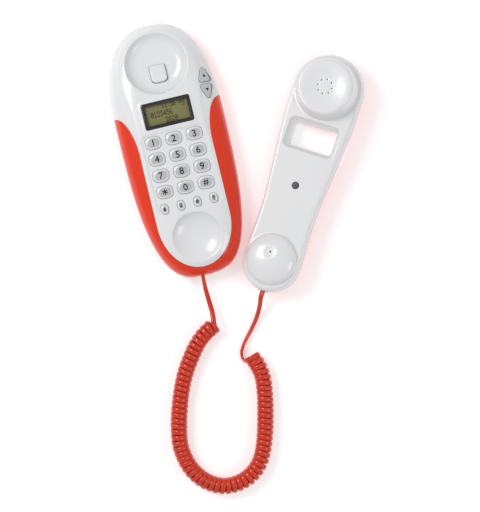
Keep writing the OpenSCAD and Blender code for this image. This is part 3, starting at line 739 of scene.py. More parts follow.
def band_points(flat):
    """The coloured band: the base's rounded form without the cover's relief."""
    real, s = TOP.to_space(flat)
    return np.column_stack([real, WIDEST_Z + TOP_EDGE.rise_at(s)])


def by_socket(place):
    """Whether a place on the housing's outside is at the edge of a socket's opening."""
    between = any(low - 0.3 < place.x < high + 0.3 for high, low in SOCKETS)
    return between and place.y < -95 and 4.2 < place.z < 16.6


def add_socket_walls(mesh):
    """Walls that go 5 mm in from the edges of the two sockets' openings."""
    edges = [e for e in mesh.edges if e.is_boundary and all(by_socket(v.co) for v in e.verts)]
    made = bmesh.ops.extrude_edge_only(mesh, edges=edges)
    for item in made["geom"]:
        if isinstance(item, bmesh.types.BMVert):
            item.co.y += 5


def keyhole(y):
    """A wall stud's keyhole: a round hole with a narrower slot above it."""
    hole = [(4.5 * math.cos(a), y + 4.5 * math.sin(a)) for a in np.radians(np.linspace(120, 420, 40))]
    slot = [(2.4 * math.cos(a), y + 8 + 2.4 * math.sin(a)) for a in np.radians(np.linspace(0, 180, 16))]
    return resample(np.array(hole + slot), 0.8)


def underside_openings():
    """The holes of the underside: battery bay, keyholes, screws, feet, ringer switch and ringer slits."""
    holes = [door_loop(0.3 + 0.25), keyhole(-41.3), keyhole(41.3)]
    holes += [circle(place, 3.2 + 0.3, 24) for place in SCREW_PLACES]
    holes += [circle(place, 5.2 + 0.3, 32) for place in FOOT_PLACES]
    holes.append(resample(round_box((0, 90), (9.0, 3.6), 0.8), 0.7))
    return holes + [circle((20 + x, 78 + x / 2), 0.9, 10) for x in range(-4, 5, 2)]


def add_band(mesh):
    """The glossy band round the cover's tongue, with a rounded edge along the seam."""
    flat = lower_outline(TOP, SOCKET_TOP_S)
    seam = shrink_open(TOP.to_flat(seam_curve(-SEAM / 2))[::-1], 0.3)
    plan, triangles, rings = fill([np.vstack([flat, seam])], 1.25)
    ring = add_surface(mesh, band_points(plan), triangles, rings)[0]
    add_rim(mesh, ring[len(flat):], SEAM_ROUND, 1.6, closed=False)


def add_underside(mesh):
    """The sides and the underside, with a rounded edge where they meet the cover at the ear end."""
    flat = lower_outline(BACK, SOCKET_BACK_S)
    turn = flare_turn(-SEAM / 2)
    ends = BACK.to_flat(on_outline(resample_open(outline_arc(180 - turn, turn, 300), 1.2)))
    centre = np.array([0, WIDEST_Y])
    ends = centre + (ends - centre) * (1 - 0.35 / np.linalg.norm(ends - centre, axis=1))[:, None]
    holes = [BACK.to_flat(hole) for hole in underside_openings()]
    guides = box_guides(BACK_PAD, BACK_PAD_CORNER, (-1.3, -0.4, 0.6), 1.2)
    plan, triangles, rings = fill([np.vstack([flat, ends[1:-1]]), *holes], 1.5, guides)
    rings = add_surface(mesh, back_points(plan), triangles, rings, facing_down=True)
    add_rim(mesh, rings[0][len(flat):], SEAM_ROUND, 1.6, closed=False)
    for k, ring in enumerate(rings[1:]):
        add_rim(mesh, ring, 0.25, 2.5 if k else 1.5, up=(0, 0, -1))


def build_housing():
    """The orange housing: the band, the sides and the underside, joined along the outline."""
    mesh = bmesh.new()
    add_band(mesh)
    add_underside(mesh)
    bmesh.ops.remove_doubles(mesh, verts=mesh.verts, dist=0.02)
    add_socket_walls(mesh)
    make_piece("rear_housing_shell", mesh, [ORANGE], "base", ["rear_housing"])


build_housing()


def build_battery_bay():
    """What shows when the battery door is open: the recess's floor and the cells' tray."""
    mesh = bmesh.new()
    tray = resample(round_box((0, -69), (48.2, 33), 1.0), 2.0)
    plan, triangles, rings = fill([shrink_loop(door_loop(0.3), -0.2), tray], 3.0)
    rings = add_surface(mesh, ring_of(plan, 3.3), triangles, rings, facing_down=True)
    floor = add_rim(mesh, rings[1], 0.4, 10.3, up=(0, 0, -1))
    mesh.faces.new(floor)
    make_piece("battery_bay", mesh, [ORANGE], "base")


# The thumb grooves of the battery door, by y
GRIP_ROWS = (-59.5, -61.9, -64.3, -66.7, -69.1)


def build_battery_door():
    """The battery door: the underside's own surface, thumb grooves and a rounded edge."""
    mesh = bmesh.new()
    loop = BACK.to_flat(door_loop(-0.2))
    grips = [BACK.to_flat(resample(round_box((0, y), size, 0.24), 0.6))
             for y in GRIP_ROWS for size in ((13.0, 0.5), (14.1, 1.5))]
    plan, triangles, rings = fill([loop], 1.4, grips)
    points = back_points(plan)
    for y in GRIP_ROWS:
        groove = box_distance(points[:, :2], (0, y), (13.4, 0.7), 0.3)
        points[:, 2] += 0.5 * (1 - smooth_step(groove, -0.08, 0.34))
    rings = add_surface(mesh, points, triangles, rings, facing_down=True)
    add_rim(mesh, rings[0], 0.2, 1.2, up=(0, 0, -1))
    make_piece("battery_door_shell", mesh, [ORANGE], "battery_door", ["battery_door"])


build_battery_bay()
build_battery_door()


# ---------------------------------------------------------------- keys

def glyph_loops(text, height):
    """The outlines of a character of the built-in typeface, centred, with capitals of this height."""
    curve = bpy.data.curves.new("glyph", "FONT")
    curve.body = text
    curve.fill_mode = "NONE"
    curve.resolution_u = 5
    helper = bpy.data.objects.new("glyph", curve)
    scene.collection.objects.link(helper)
    bpy.context.view_layer.update()
    mesh = bmesh.new()
    mesh.from_mesh(helper.to_mesh())
    bmesh.ops.remove_doubles(mesh, verts=mesh.verts, dist=1e-5)
    loops, seen = [], set()
    for start in mesh.verts:
        if start in seen or len(start.link_edges) != 2:
            continue
        loop, vertex, came = [], start, None
        while vertex not in seen:
            seen.add(vertex)
            loop.append((vertex.co.x, vertex.co.y))
            came = next(e for e in vertex.link_edges if e != came)
            vertex = came.other_vert(vertex)
        loops.append(np.array(loop))
    mesh.free()
    bpy.data.objects.remove(helper)
    bpy.data.curves.remove(curve)
    every = np.vstack(loops)
    low, high = every.min(axis=0), every.max(axis=0)
    scale = height / 0.70
    return [(loop - (low + high) / 2) * scale for loop in loops]


def add_print(mesh, loops, centre, height_at, bold, material, step):
    """A printed mark that follows the surface below it, made bolder by a distance on every side."""
    proud, wall = 0.03, 0.06
    inner = [inside(np.array(loop[:1]), [other for other in loops if other is not loop])[0] for loop in loops]
    loops = [shrink_loop(loop, bold if hole else -bold) + centre for loop, hole in zip(loops, inner)]
    plan, triangles, rings = fill([split_edges(loop, 0.7) for loop in loops], step)
    points = ring_of(plan, 0)
    points[:, 2] = height_at(plan) + proud
    rings = add_surface(mesh, points, triangles, rings, material=material)
    for ring in rings:
        add_rim(mesh, ring, 0.01, wall, up=(0, 0, 1), steps=1, material=material)


def crown(centre, radius, top):
    """A function that gives the height of a ball's top over points in plan."""
    def height_at(plan):
        away = ((np.asarray(plan) - np.asarray(centre)) ** 2).sum(axis=1)
        return top - radius + np.sqrt(radius ** 2 - away)
    return height_at


CAP_BASE_Z, CAP_TOP_Z = 20.3, 29.4     # the base leaves room for 1.5 mm of travel above the mats
ROUNDING = np.radians((0, 18, 36, 54, 72, 90))


def build_cap(name, centre, half, power, radius, loops, print_step):
    """A key cap: straight sides, a clear rounded rim and a crowned grey top with its printed mark."""
    mesh = bmesh.new()
    height_at = crown(centre, radius, CAP_TOP_Z)
    rim, drop, count = 1.5, 1.05, 56

    def plan_at(inset):
        return super_ring(centre, (half[0] - inset, half[1] - inset), power, count)

    rings = [ring_of(plan_at(0), z) for z in (CAP_BASE_Z, 24.0, 26.8)]
    for angle in ROUNDING:
        plan = plan_at(rim * (1 - math.cos(angle)))
        rings.append(ring_of(plan, height_at(plan) - drop * (1 - math.sin(angle))))
    loft(mesh, rings, cap_first=True)
    plan, triangles, last = fill([plan_at(rim)], 0.9)
    add_surface(mesh, ring_of(plan, height_at(plan)), triangles, last, material=1)
    bmesh.ops.remove_doubles(mesh, verts=mesh.verts, dist=0.004)
    add_print(mesh, loops, centre, height_at, bold=0.09, material=2, step=print_step)
    make_piece(name + "_cap", mesh, [KEY_RIM, KEY, PRINT], name, [name])


def star_loops(height):
    """An asterisk: three bars across each other, as one outline."""
    reach, half = height / 2, height * 0.075
    points = []
    for turn in np.radians(np.arange(90, 450, 60)):
        along = np.array([math.cos(turn), math.sin(turn)])
        across = np.array([-along[1], along[0]])
        corner = turn + math.radians(30)
        points += [along * reach - across * half, along * reach + across * half,
                   np.array([math.cos(corner), math.sin(corner)]) * half * 2]
    return [np.array(points)]


def ring_mark(radius, thick, centre=(0, 0)):
    """The outlines of a printed ring."""
    return [circle(centre, radius, 20), circle(centre, radius - thick, 16)]


def box_mark(centre, size):
    """The outline of a printed bar."""
    return [round_box(centre, size, min(size) * 0.2, 2)]


FUNCTION_MARKS = {
    "function_key_1": box_mark((0, -1.1), (2.2, 0.55)) + [np.array([(-1.1, -0.4), (1.1, -0.4), (0, 1.5)])],
    "function_key_2": ring_mark(1.1, 0.45, (0, 0.4)) + box_mark((0, -1.35), (2.2, 0.5)),
    "function_key_3": ring_mark(1.35, 0.45) + box_mark((0, 0), (0.7, 0.7)),
    "function_key_4": ring_mark(1.0, 0.45, (0, 0.7)) + box_mark((0, -1.1), (0.55, 1.6)),
}
for number, text in enumerate(KEY_SIGNS):
    marks = star_loops(4.6) if text == "*" else glyph_loops(text, 5.4 if text != "#" else 5.0)
    key = "key_" + SIGN_NAMES.get(text, text)
    build_cap(key, digit_place(number), (6.65, 5.25), 2.8, 26, marks, 0.45)
for number, (key, marks) in enumerate(FUNCTION_MARKS.items()):
    build_cap(key, (FUNCTION_X[number], FUNCTION_Y), (3.1, 4.2), 2.3, 14, marks, 0.35)


def build_arrow_key(side, name):
    """An arrow key: a rounded triangle that stands a little above the slope of the cover."""
    mesh = bmesh.new()

    def height_at(plan):
        flat = TOP.to_flat(plan)
        s = TOP.to_space(flat)[1]
        return WIDEST_Z + TOP_EDGE.rise_at(s) + 0.9

    outer, rounded = arrow_plan(side, 0, 54), 0.9
    rings = [ring_of(outer, z) for z in (CAP_BASE_Z, 21.5)]
    for angle in ROUNDING:
        plan = shrink_loop(outer, rounded * (1 - math.cos(angle)))
        rings.append(ring_of(plan, height_at(plan) - rounded * (1 - math.sin(angle))))
    loft(mesh, rings, cap_first=True)
    plan, triangles, last = fill([shrink_loop(outer, rounded)], 0.8)
    add_surface(mesh, ring_of(plan, height_at(plan)), triangles, last)
    bmesh.ops.remove_doubles(mesh, verts=mesh.verts, dist=0.003)
    middle = (36.0, 47.5 + side * (0.9 + 4.9))
    mark = [np.array([(-1.4, -1.0 * side), (1.4, -1.0 * side), (0, 1.4 * side)])]
    add_print(mesh, mark, middle, height_at, bold=0, material=1, step=0.4)
    make_piece(name + "_cap", mesh, [ARROW, PRINT], name, [name])


build_arrow_key(1, "key_up")
build_arrow_key(-1, "key_down")


# ---------------------------------------------------------------- display

DISPLAY = (0, 30.8)


def build_bezel():
    """The display's glossy black frame: a rounded outer edge and a bevel down to the window."""
    mesh = bmesh.new()
    profile = [((40.4, 21.4), 1.5, 24.6), ((40.4, 21.4), 1.5, 27.7), ((40.2, 21.2), 1.4, 28.0),
               ((39.8, 20.8), 1.2, 28.2), ((37.6, 18.4), 0.9, 28.2), ((37.1, 17.9), 0.8, 28.1),
               ((36.9, 17.7), 0.8, 27.2), ((35.4, 16.2), 0.7, 27.1), ((35.2, 16.0), 0.6, 26.9),
               ((35.2, 16.0), 0.6, 24.6)]
    rings = []
    for k, (extent, radius, z) in enumerate(profile):
        centre = (0, 30.5) if k < 4 else DISPLAY
        rings.append(ring_of(round_box(centre, extent, radius, 7), z))
    loft(mesh, rings)
    make_piece("display_bezel_frame", mesh, [FRAME], "base", ["display_bezel"])


def build_lens():
    """The clear window over the display, very slightly crowned."""
    mesh = bmesh.new()
    size = np.array([36.8, 17.6])
    plan, triangles, rings = fill([resample(round_box(DISPLAY, size, 0.7), 1.2)], 2.0)
    crowned = 27.85 + 0.12 * np.prod(1 - ((plan - DISPLAY) / (size / 2)) ** 2, axis=1)
    rings = add_surface(mesh, ring_of(plan, crowned), triangles, rings)
    add_rim(mesh, rings[0], 0.01, 0.5, up=(0, 0, 1), steps=1)
    make_piece("display_lens_window", mesh, [LENS], "base", ["display_lens"])


DOTS = {"0": "01110 10001 10011 10101 11001 10001 01110", "1": "00100 01100 00100 00100 00100 00100 01110",
        "2": "01110 10001 00001 00010 00100 01000 11111", "3": "11111 00010 00100 00010 00001 10001 01110",
        "4": "00010 00110 01010 10010 11111 00010 00010", "5": "11111 10000 11110 00001 00001 10001 01110",
        "6": "00110 01000 10000 11110 10001 10001 01110", "8": "01110 10001 10001 01110 10001 10001 01110",
        ":": "00000 00100 00100 00000 00100 00100 00000", "-": "00000 00000 00000 11111 00000 00000 00000"}
# Each line's text, left side, foot, and its dots' spacing across and up
DISPLAY_LINES = (("12:30", -3.6, 35.6, 0.40, 0.44), ("08", 11.2, 36.0, 0.40, 0.42),
                 ("-", 12.6, 33.0, 0.42, 0.42), ("0123456", -13.8, 29.3, 0.44, 0.66),
                 ("2020", -2.6, 23.6, 0.44, 0.66))


def build_panel():
    """The liquid crystal panel under the window."""
    mesh = bmesh.new()
    outer = resample(round_box(DISPLAY, (38.4, 19.4), 0.5), 1.5)
    plan, triangles, rings = fill([outer], 3.0)
    rings = add_surface(mesh, ring_of(plan, 24.5), triangles, rings)
    add_rim(mesh, rings[0], 0.05, 2.2, up=(0, 0, 1), steps=2)
    make_piece("display_panel_glass", mesh, [LCD], "base", ["display_glass"])


def dot_places(character):
    """The columns and rows of a character's dark dots, with rows counted from the bottom."""
    for row, bits in enumerate(DOTS[character].split()):
        for column, bit in enumerate(bits):
            if bit == "1":
                yield column, 6 - row


def build_dots():
    """The clock, date, counter and year that the panel's dots make."""
    mesh = bmesh.new()
    for text, left, low, pitch, rise in DISPLAY_LINES:
        for place, character in enumerate(text):
            for column, row in dot_places(character):
                x, y = left + (place * 6 + column) * pitch, low + row * rise
                w, h = pitch * 0.56, rise * 0.54
                square = [(x - w, y - h), (x + w, y - h), (x + w, y + h), (x - w, y + h)]
                loft(mesh, [ring_of(square, z) for z in (24.52, 24.56)], cap_first=True, cap_last=True)
    make_piece("display_dots", mesh, [SEGMENT], "base")


build_bezel()
build_lens()
build_panel()
build_dots()


# ---------------------------------------------------------------- hook plunger, clip, feet, fixings

def build_plunger():
    """The hook plunger: a D with a softly rounded top that stands in the ear recess."""
    mesh = bmesh.new()
    outer, top, rounded = resample(plunger_plan(0), 0.8), 22.0, 1.3
    rings = [ring_of(outer, z) for z in (11.2, 15.0)]
    for angle in ROUNDING:
        plan = shrink_loop(outer, rounded * (1 - math.cos(angle)))
        rings.append(ring_of(plan, top - rounded * (1 - math.sin(angle))))
    loft(mesh, rings, cap_first=True)
    plan, triangles, last = fill([shrink_loop(outer, rounded)], 1.0)
    add_surface(mesh, ring_of(plan, top), triangles, last)
    bmesh.ops.remove_doubles(mesh, verts=mesh.verts, dist=0.003)
    make_piece("hook_plunger_cap", mesh, [WHITE], "hook_plunger", ["hook_plunger"])


SPRING_FOOT_Z = 3.55


def build_spring():
    """The coil spring under the plunger: a fixed coil that rides on the base."""
    mesh = bmesh.new()
    wire, radius, height, turns, steps = 0.3, 3.6, 6.8, 5, 36
    rings = []
    for step in range(turns * steps + 1):
        share = step / (turns * steps)
        turn = 2 * math.pi * turns * share
        section = circle((radius, SPRING_FOOT_Z + wire + height * share), wire, 14)
        x, y = section[:, 0] * math.cos(turn), section[:, 0] * math.sin(turn) + PLUNGER_Y
        rings.append(np.column_stack([x, y, section[:, 1]]))
    loft(mesh, rings, cap_first=True, cap_last=True)
    spring = make_piece("hook_spring_coil", mesh, [STEEL], "base", ["hook_spring"])
    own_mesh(spring)


def build_clip():
    """The clip that holds the handset when the base hangs on a wall: a thin tab with a rounded top."""
    mesh = bmesh.new()
    outer = resample(round_box((0, 48), (10.4, 1.4), 0.5), 0.5)
    rings = [ring_of(outer, z) for z in (11.6, 20.0, 25.0)]
    for angle in np.radians((30, 60, 90)):
        rings.append(ring_of(shrink_loop(outer, 0.4 * (1 - math.cos(angle))), 25.0 + 0.4 * math.sin(angle)))
    loft(mesh, rings, cap_first=True, cap_last=True)
    make_piece("handset_clip_tab", mesh, [WHITE], "handset_clip", ["handset_clip"])


def add_turned(mesh, profile, centre):
    """A turned shape, from pairs of radius and height."""
    rings = [ring_of(circle(centre, radius, 40), z) for radius, z in profile]
    loft(mesh, rings, cap_first=True, cap_last=True)


def build_feet():
    """Four rubber feet with rounded edges."""
    mesh = bmesh.new()
    profile = [(5.0, 2.05), (5.0, 0.5), (4.85, 0.15), (4.5, 0.0), (3.6, 0.02), (2.6, 0.25)]
    for place in FOOT_PLACES:
        add_turned(mesh, profile, place)
    make_piece("rubber_feet_pads", mesh, [RUBBER], "base", ["rubber_feet"])


build_plunger()
build_spring()
build_clip()
build_feet()


# ---------------------------------------------------------------- handset

EAR_CENTRE, MOUTH_CENTRE, DOME_CENTRE, PLUG_CENTRE = (0, 73.0), (0, -76.3), (0, -73.5), (0, -10)
EAR_END, MOUTH_END = 29.6, 24.3
SPLIT_Z, SHELF_Z = 11.0, 19.0
WINDOW_CENTRE, WINDOW_SIZE = (0, 31.65), (38, 20.7)
JACK_HALF = 5.9
# The handset lies rolled on its rounded back, and turned away from the base
ROLL, TURN = math.radians(12), math.radians(31.8)
RAISE = math.hypot(11 * math.cos(ROLL), 14 * math.sin(ROLL)) + (EAR_END - 14) * math.sin(ROLL) - 11
HANDSET_PLACE = (Matrix.Translation((94.3, -44, RAISE)) @ Matrix.Rotation(-TURN, 4, "Z")
                 @ Matrix.Translation((0, 0, SPLIT_Z)) @ Matrix.Rotation(-ROLL, 4, "Y")
                 @ Matrix.Translation((0, 0, -SPLIT_Z)))


def handset_half_width(y):
    """Half the handset's width along its length, with its waist."""
    dip = np.clip(1 - ((y + 38) / 35) ** 2, 0, None) ** 2
    return MOUTH_END + (EAR_END - MOUTH_END) * smooth_step(y, -28, 55) - dip


def handset_parts(points):
    """Which points belong to the ear end's round, and which to the mouth end's."""
    return points[:, 1] > EAR_CENTRE[1], points[:, 1] < MOUTH_CENTRE[1]


class HandsetShape:
    """The handset's outline and, as for the base, its flat plan."""

    def __init__(self, edge):
        self.edge = edge
        self.extra = edge.length - edge.inset

    def carry(self, points, level_of, reach_of):
        """Moves each point straight in or out: its distance becomes reach_of the level it is on."""
        points = np.asarray(points, float)
        out, levels = points.copy(), np.zeros(len(points))
        ear, mouth = handset_parts(points)
        for chosen, centre, full in ((ear, EAR_CENTRE, EAR_END), (mouth, MOUTH_CENTRE, MOUTH_END)):
            away = points[chosen] - np.asarray(centre)
            radius = np.linalg.norm(away, axis=1)
            level = levels[chosen] = level_of(full - radius)
            out[chosen] = centre + away * ((full - reach_of(level)) / np.maximum(radius, 1e-6))[:, None]
        side = ~(ear | mouth)
        width = handset_half_width(points[side, 1])
        level = levels[side] = level_of(width - np.abs(points[side, 0]))
        out[side, 0] = np.where(points[side, 0] < 0, -1, 1) * (width - reach_of(level))
        return out, levels

    def to_space(self, flat):
        """Flat plan to real plan, and how far along the surface each point is from the outline."""
        return self.carry(flat, lambda d: d + self.extra, lambda s: self.edge.inset_at(np.maximum(s, 0)))

    def to_flat(self, real):
        """Real plan to flat plan."""
        return self.carry(real, lambda d: self.edge.s_at(d), lambda s: s - self.extra)[0]


def handset_outline():
    """The handset's outline in real plan: two round ends and two waisted sides."""
    ear = [EAR_CENTRE + EAR_END * np.array([math.cos(a), math.sin(a)]) for a in np.linspace(0, math.pi, 90)]
    mouth = [MOUTH_CENTRE + MOUTH_END * np.array([math.cos(a), math.sin(a)])
             for a in np.linspace(-math.pi, 0, 80)]
    ys = np.linspace(EAR_CENTRE[1], MOUTH_CENTRE[1], 130)[1:-1]
    left = np.column_stack([-handset_half_width(ys), ys])
    points = resample(np.vstack([ear, left, mouth, left[::-1] * (-1, 1)]), 1.2)
    top, bottom = handset_parts(points)
    for chosen, centre, radius in ((top, EAR_CENTRE, EAR_END), (bottom, MOUTH_CENTRE, MOUTH_END)):
        points[chosen] = centre + unit(points[chosen] - centre) * radius
    side = ~(top | bottom)
    points[side, 0] = np.sign(points[side, 0]) * handset_half_width(points[side, 1])
    return points


REAR_DEPTH = 10.85
FACE_EDGE, REAR_EDGE = RoundOver(3, 8), RoundOver(14, REAR_DEPTH)
FACE, REAR = HandsetShape(FACE_EDGE), HandsetShape(REAR_EDGE)


def join_profile(mesh, ring, centre, profile):
    """Turned rings that go on from a hole's edge: pairs of radius and height above the shelf."""
    base = np.array([v.co for v in ring])
    away = base[:, :2] - np.asarray(centre)
    directions = away / np.linalg.norm(away, axis=1)[:, None]
    share = np.linspace(1, 0, len(profile))
    for k, (radius, height) in enumerate(profile):
        z = SHELF_Z + height + (base[:, 2] - SHELF_Z) * share[k]
        ring = bridge(mesh, ring, np.column_stack([np.asarray(centre) + directions * radius, z]))
    return ring


def cap_disc(mesh, ring, holes, step, height_at):
    """Fills a ring with a surface whose height is a function of the plan, with holes in it."""
    loop = np.array([(v.co.x, v.co.y) for v in ring])
    plan, triangles, rings = fill([loop, *holes], step)
    rings = add_surface(mesh, ring_of(plan, height_at(plan)), triangles, rings)
    for hole in rings[1:]:
        add_rim(mesh, hole, 0.12, 1.2, up=(0, 0, 1), steps=2)


def window_loop(grow, corner):
    """The handset's window in plan, made larger on every side."""
    return round_box(WINDOW_CENTRE, [side + 2 * grow for side in WINDOW_SIZE], corner)


def handset_loop(shape, shrink, depth):
    """A shell's edge in its flat plan, with the notch for the cord's socket at the mouth end."""
    loop = shrink_loop(shape.to_flat(handset_outline()), shrink)
    notch = []
    levels = np.linspace(shrink, depth, 6)
    for side in (-1, 1):
        for s in levels[::-side]:
            turn = side * math.asin(JACK_HALF / (MOUTH_END - float(shape.edge.inset_at(s))))
            notch.append((turn, s))
        if side < 0:
            widest = notch[-1][0]
            notch += [(turn, depth) for turn in np.linspace(widest, -widest, 11)[1:-1]]
    radius = MOUTH_END + shape.extra
    notch = [(math.sin(turn) * (radius - s), MOUTH_CENTRE[1] - math.cos(turn) * (radius - s))
             for turn, s in notch]
    cut = np.nonzero((loop[:, 1] < -90) & (np.abs(loop[:, 0]) < JACK_HALF + 0.5))[0]
    return np.vstack([loop[:cut[0]], notch, loop[cut[-1] + 1:]])


def add_ear_pad(mesh, ring):
    """The ear pad: a cone with a rounded shoulder and a shallow dish with sound holes."""
    foot = [(26.05, 0.12), (25.85, 0.35), (25.7, 0.8)]
    cone = [(25.7 - 2.5 * u, 0.8 + 10.6 * u) for u in np.linspace(0.1, 1, 9)]
    shoulder = [(20.5 + 2.6 * math.cos(a), 11.6 + 2.3 * math.sin(a)) for a in np.radians(range(15, 91, 15))]
    rim = join_profile(mesh, ring, EAR_CENTRE, foot + cone + shoulder)

    def height_at(plan):
        away = np.linalg.norm(plan - EAR_CENTRE, axis=1)
        return SHELF_Z + 13.9 - 1.1 * (1 - smooth_step(away, 6, 20.5))

    cap_disc(mesh, rim, [circle(place, 0.75, 14) for place in circle(EAR_CENTRE, 6, 8)], 1.2, height_at)


def add_mouth_dome(mesh, ring):
    """The mouth dome, with a dimple and the microphone's hole."""
    radius, base, height, hole = 20.95, 0.9, 8.1, (-1, -68)
    foot = [(21.3, 0.12), (21.1, 0.4), (radius, base)]
    rise = [(radius * math.cos(a), base + height * math.sin(a)) for a in np.radians(range(6, 49, 6))]
    rim = join_profile(mesh, ring, DOME_CENTRE, foot + rise)

    def height_at(plan):
        away = np.linalg.norm(plan - DOME_CENTRE, axis=1)
        form = SHELF_Z + base + height * np.sqrt(np.clip(1 - (away / radius) ** 2, 0, 1))
        dimple = np.linalg.norm(plan - hole, axis=1)
        return form - 0.55 * (1 - smooth_step(dimple, 2.2, 6.4))

    cap_disc(mesh, rim, [circle(hole, 0.95, 16)], 1.0, height_at)


def add_window(mesh, ring):
    """The window's wide rounded bevel, and its walls down through the handset."""
    bevel = [(3.7 - 0.9 * math.sin(a), SHELF_Z - 0.5 * (1 - math.cos(a)))
             for a in np.linspace(0, math.pi / 2, 6)[1:]]
    walls = [(0.75, 16.2), (0.3, 15.75), (0.08, 15.3), (0.0, 14.6), (0.0, 11.0), (0.0, 4.0), (0.0, 0.6)]
    for grow, z in bevel + walls:
        loop = even_loop(window_loop(grow, 2.5 + grow), len(ring))
        ring = bridge(mesh, ring, ring_of(loop, z))


def build_handset_face():
    """The white face: a shelf with a rounded edge, the ear pad, the mouth dome and the window."""
    mesh = bmesh.new()
    loops = [handset_loop(FACE, 0.6, 4.95), circle(EAR_CENTRE, 26.3, 130),
             FACE.to_flat(circle(DOME_CENTRE, 21.6, 110)), resample(window_loop(3.7, 6.0), 1.1),
             circle(PLUG_CENTRE, 3.1 + 0.3, 28)]
    plan, triangles, rings = fill(loops, 1.25)
    real, s = FACE.to_space(plan)
    points = ring_of(real, SPLIT_Z + FACE_EDGE.rise_at(s))
    edge, ear, dome, window, plug = add_surface(mesh, points, triangles, rings)
    add_rim(mesh, edge, 0.28, 1.5)
    add_rim(mesh, plug, 0.3, 3.0, up=(0, 0, 1))
    add_ear_pad(mesh, ear)
    add_mouth_dome(mesh, dome)
    add_window(mesh, window)
    make_piece("handset_face_shell", mesh, [WHITE], "handset", ["handset_face"],
               HANDSET_PLACE)


def build_handset_back():
    """The orange back: a deep rounded shell with the window through it and the cord's socket."""
    mesh = bmesh.new()
    window = REAR.to_flat(resample(window_loop(0.85, 3.3), 1.1))
    plan, triangles, rings = fill([handset_loop(REAR, 0.22, 7.1), window], 1.4)
    real, s = REAR.to_space(plan)
    surface = ring_of(real, REAR_DEPTH - REAR_EDGE.rise_at(s))
    rings = add_surface(mesh, surface, triangles, rings, facing_down=True)
    add_rim(mesh, rings[0], 0.28, 1.5)
    add_rim(mesh, rings[1], 0.7, 1.0, up=(0, 0, -1))
    make_piece("handset_back_shell", mesh, [ORANGE], "handset", ["handset_back"],
               HANDSET_PLACE)


def build_screw_plug():
    """The dark plug over the handset's screw, with a rounded edge."""
    mesh = bmesh.new()
    profile = [(3.05, 15.6), (3.05, 18.4), (2.95, 18.7), (2.7, 18.85), (2.2, 18.9), (1.0, 18.92)]
    add_turned(mesh, profile, PLUG_CENTRE)
    make_piece("handset_screw_plug_cap", mesh, [PLUG_GREY], "handset",
               ["handset_screw_plug"], HANDSET_PLACE)


build_handset_face()
build_handset_back()
build_screw_plug()


# ---------------------------------------------------------------- the curly cord

CORD_WIDTH, CORD_THICK, CORD_LENGTH, CORD_STEP = 4.4, 2.3, 2.45, 1.35
COIL_RADIUS, COIL_PITCH, COIL_Z = 5.95, 4.6, 7.2
# Where the cord lies: the coil's middle in plan, and the lead at each end in space
COIL_ROUTE = [(-4.6, -148), (-10, -150.8), (-16.3, -154.9), (-22.5, -160.7), (-29, -169), (-35.4, -178.3),
              (-40.6, -188), (-44.9, -198), (-48.4, -208), (-51.4, -218), (-53.8, -228.4), (-55, -239),
              (-53.8, -249.5), (-50.8, -259), (-46.2, -266.6), (-40, -273), (-33, -277.4), (-25.3, -279.8),
              (-17.2, -279.9), (-8.9, -278), (-1.2, -273.8), (5.2, -267.7), (10, -259.6), (13.8, -250),
              (16.9, -240), (19.5, -229.7), (21.9, -219.4), (23.7, -209), (24.6, -201), (24.2, -194),
              (22.4, -187), (19.6, -180.2)]
BASE_LEAD = [(-3.5, -103.6, 10.4), (-3.9, -108.5, 10.2), (-4.2, -117, 8.8), (-3.8, -127, 8.2),
             (-3.4, -135, 9.5), (-3.5, -141.3, 11.9)]
HANDSET_LEAD = [(12.6, -182.9, 4.0), (11.4, -179.8, 2.7), (12.4, -174.6, 2.5), (17.2, -167.2, 2.5),
                (24.2, -159.2, 2.6), (31, -150.3, 4.0), (35.6, -142, 7.6)]


def smooth_route(points, step):
    """A smooth curve through given points, at even steps."""
    points = np.asarray(points, float)
    padded = np.vstack([2 * points[0] - points[1], points, 2 * points[-1] - points[-2]])
    curve = []
    for k in range(1, len(padded) - 2):
        p0, p1, p2, p3 = padded[k - 1:k + 3]
        for u in np.linspace(0, 1, 24, endpoint=False):
            curve.append(0.5 * ((2 * p1) + (p2 - p0) * u + (2 * p0 - 5 * p1 + 4 * p2 - p3) * u ** 2
                                + (3 * p1 - p0 - 3 * p2 + p3) * u ** 3))
    curve.append(padded[-2])
    curve = np.array(curve)
    for _ in range(12):
        curve[1:-1] = (curve[:-2] + 2 * curve[1:-1] + curve[2:]) / 4
    along = along_line(curve)
    return read_off(curve, along, np.linspace(0, along[-1], int(round(along[-1] / step)) + 1))


def coil_points():
    """The coil's own line, turn by turn, and which way the flat cord's width faces along it."""
    axis = smooth_route([(x, y, COIL_Z) for x, y in COIL_ROUTE], 0.2)
    turns = round(along_line(axis)[-1] / COIL_PITCH) + 0.25
    u = np.linspace(0, 1, int(turns * 26))
    place = np.clip(u + 0.002 * np.sin(11 * u) * np.sin(math.pi * u), 0, 1)
    centre = read_off(axis, np.linspace(0, 1, len(axis)), place)
    heading = unit(np.gradient(centre, axis=0))
    side = unit(np.cross(heading, (0, 0, 1.0)))
    up = np.cross(side, heading)
    angle = math.pi / 2 + 2 * math.pi * turns * u
    radius = COIL_RADIUS * (1 - 0.012 * (1 + np.sin(37 * u)))
    tilt = 0.05 + 0.22 * np.exp(-((u - 0.37) / 0.035) ** 2)
    out = np.cos(angle)[:, None] * side + np.sin(angle)[:, None] * up
    points = centre + radius[:, None] * out + (tilt * COIL_PITCH * np.sin(angle + 0.9))[:, None] * heading
    return points, heading


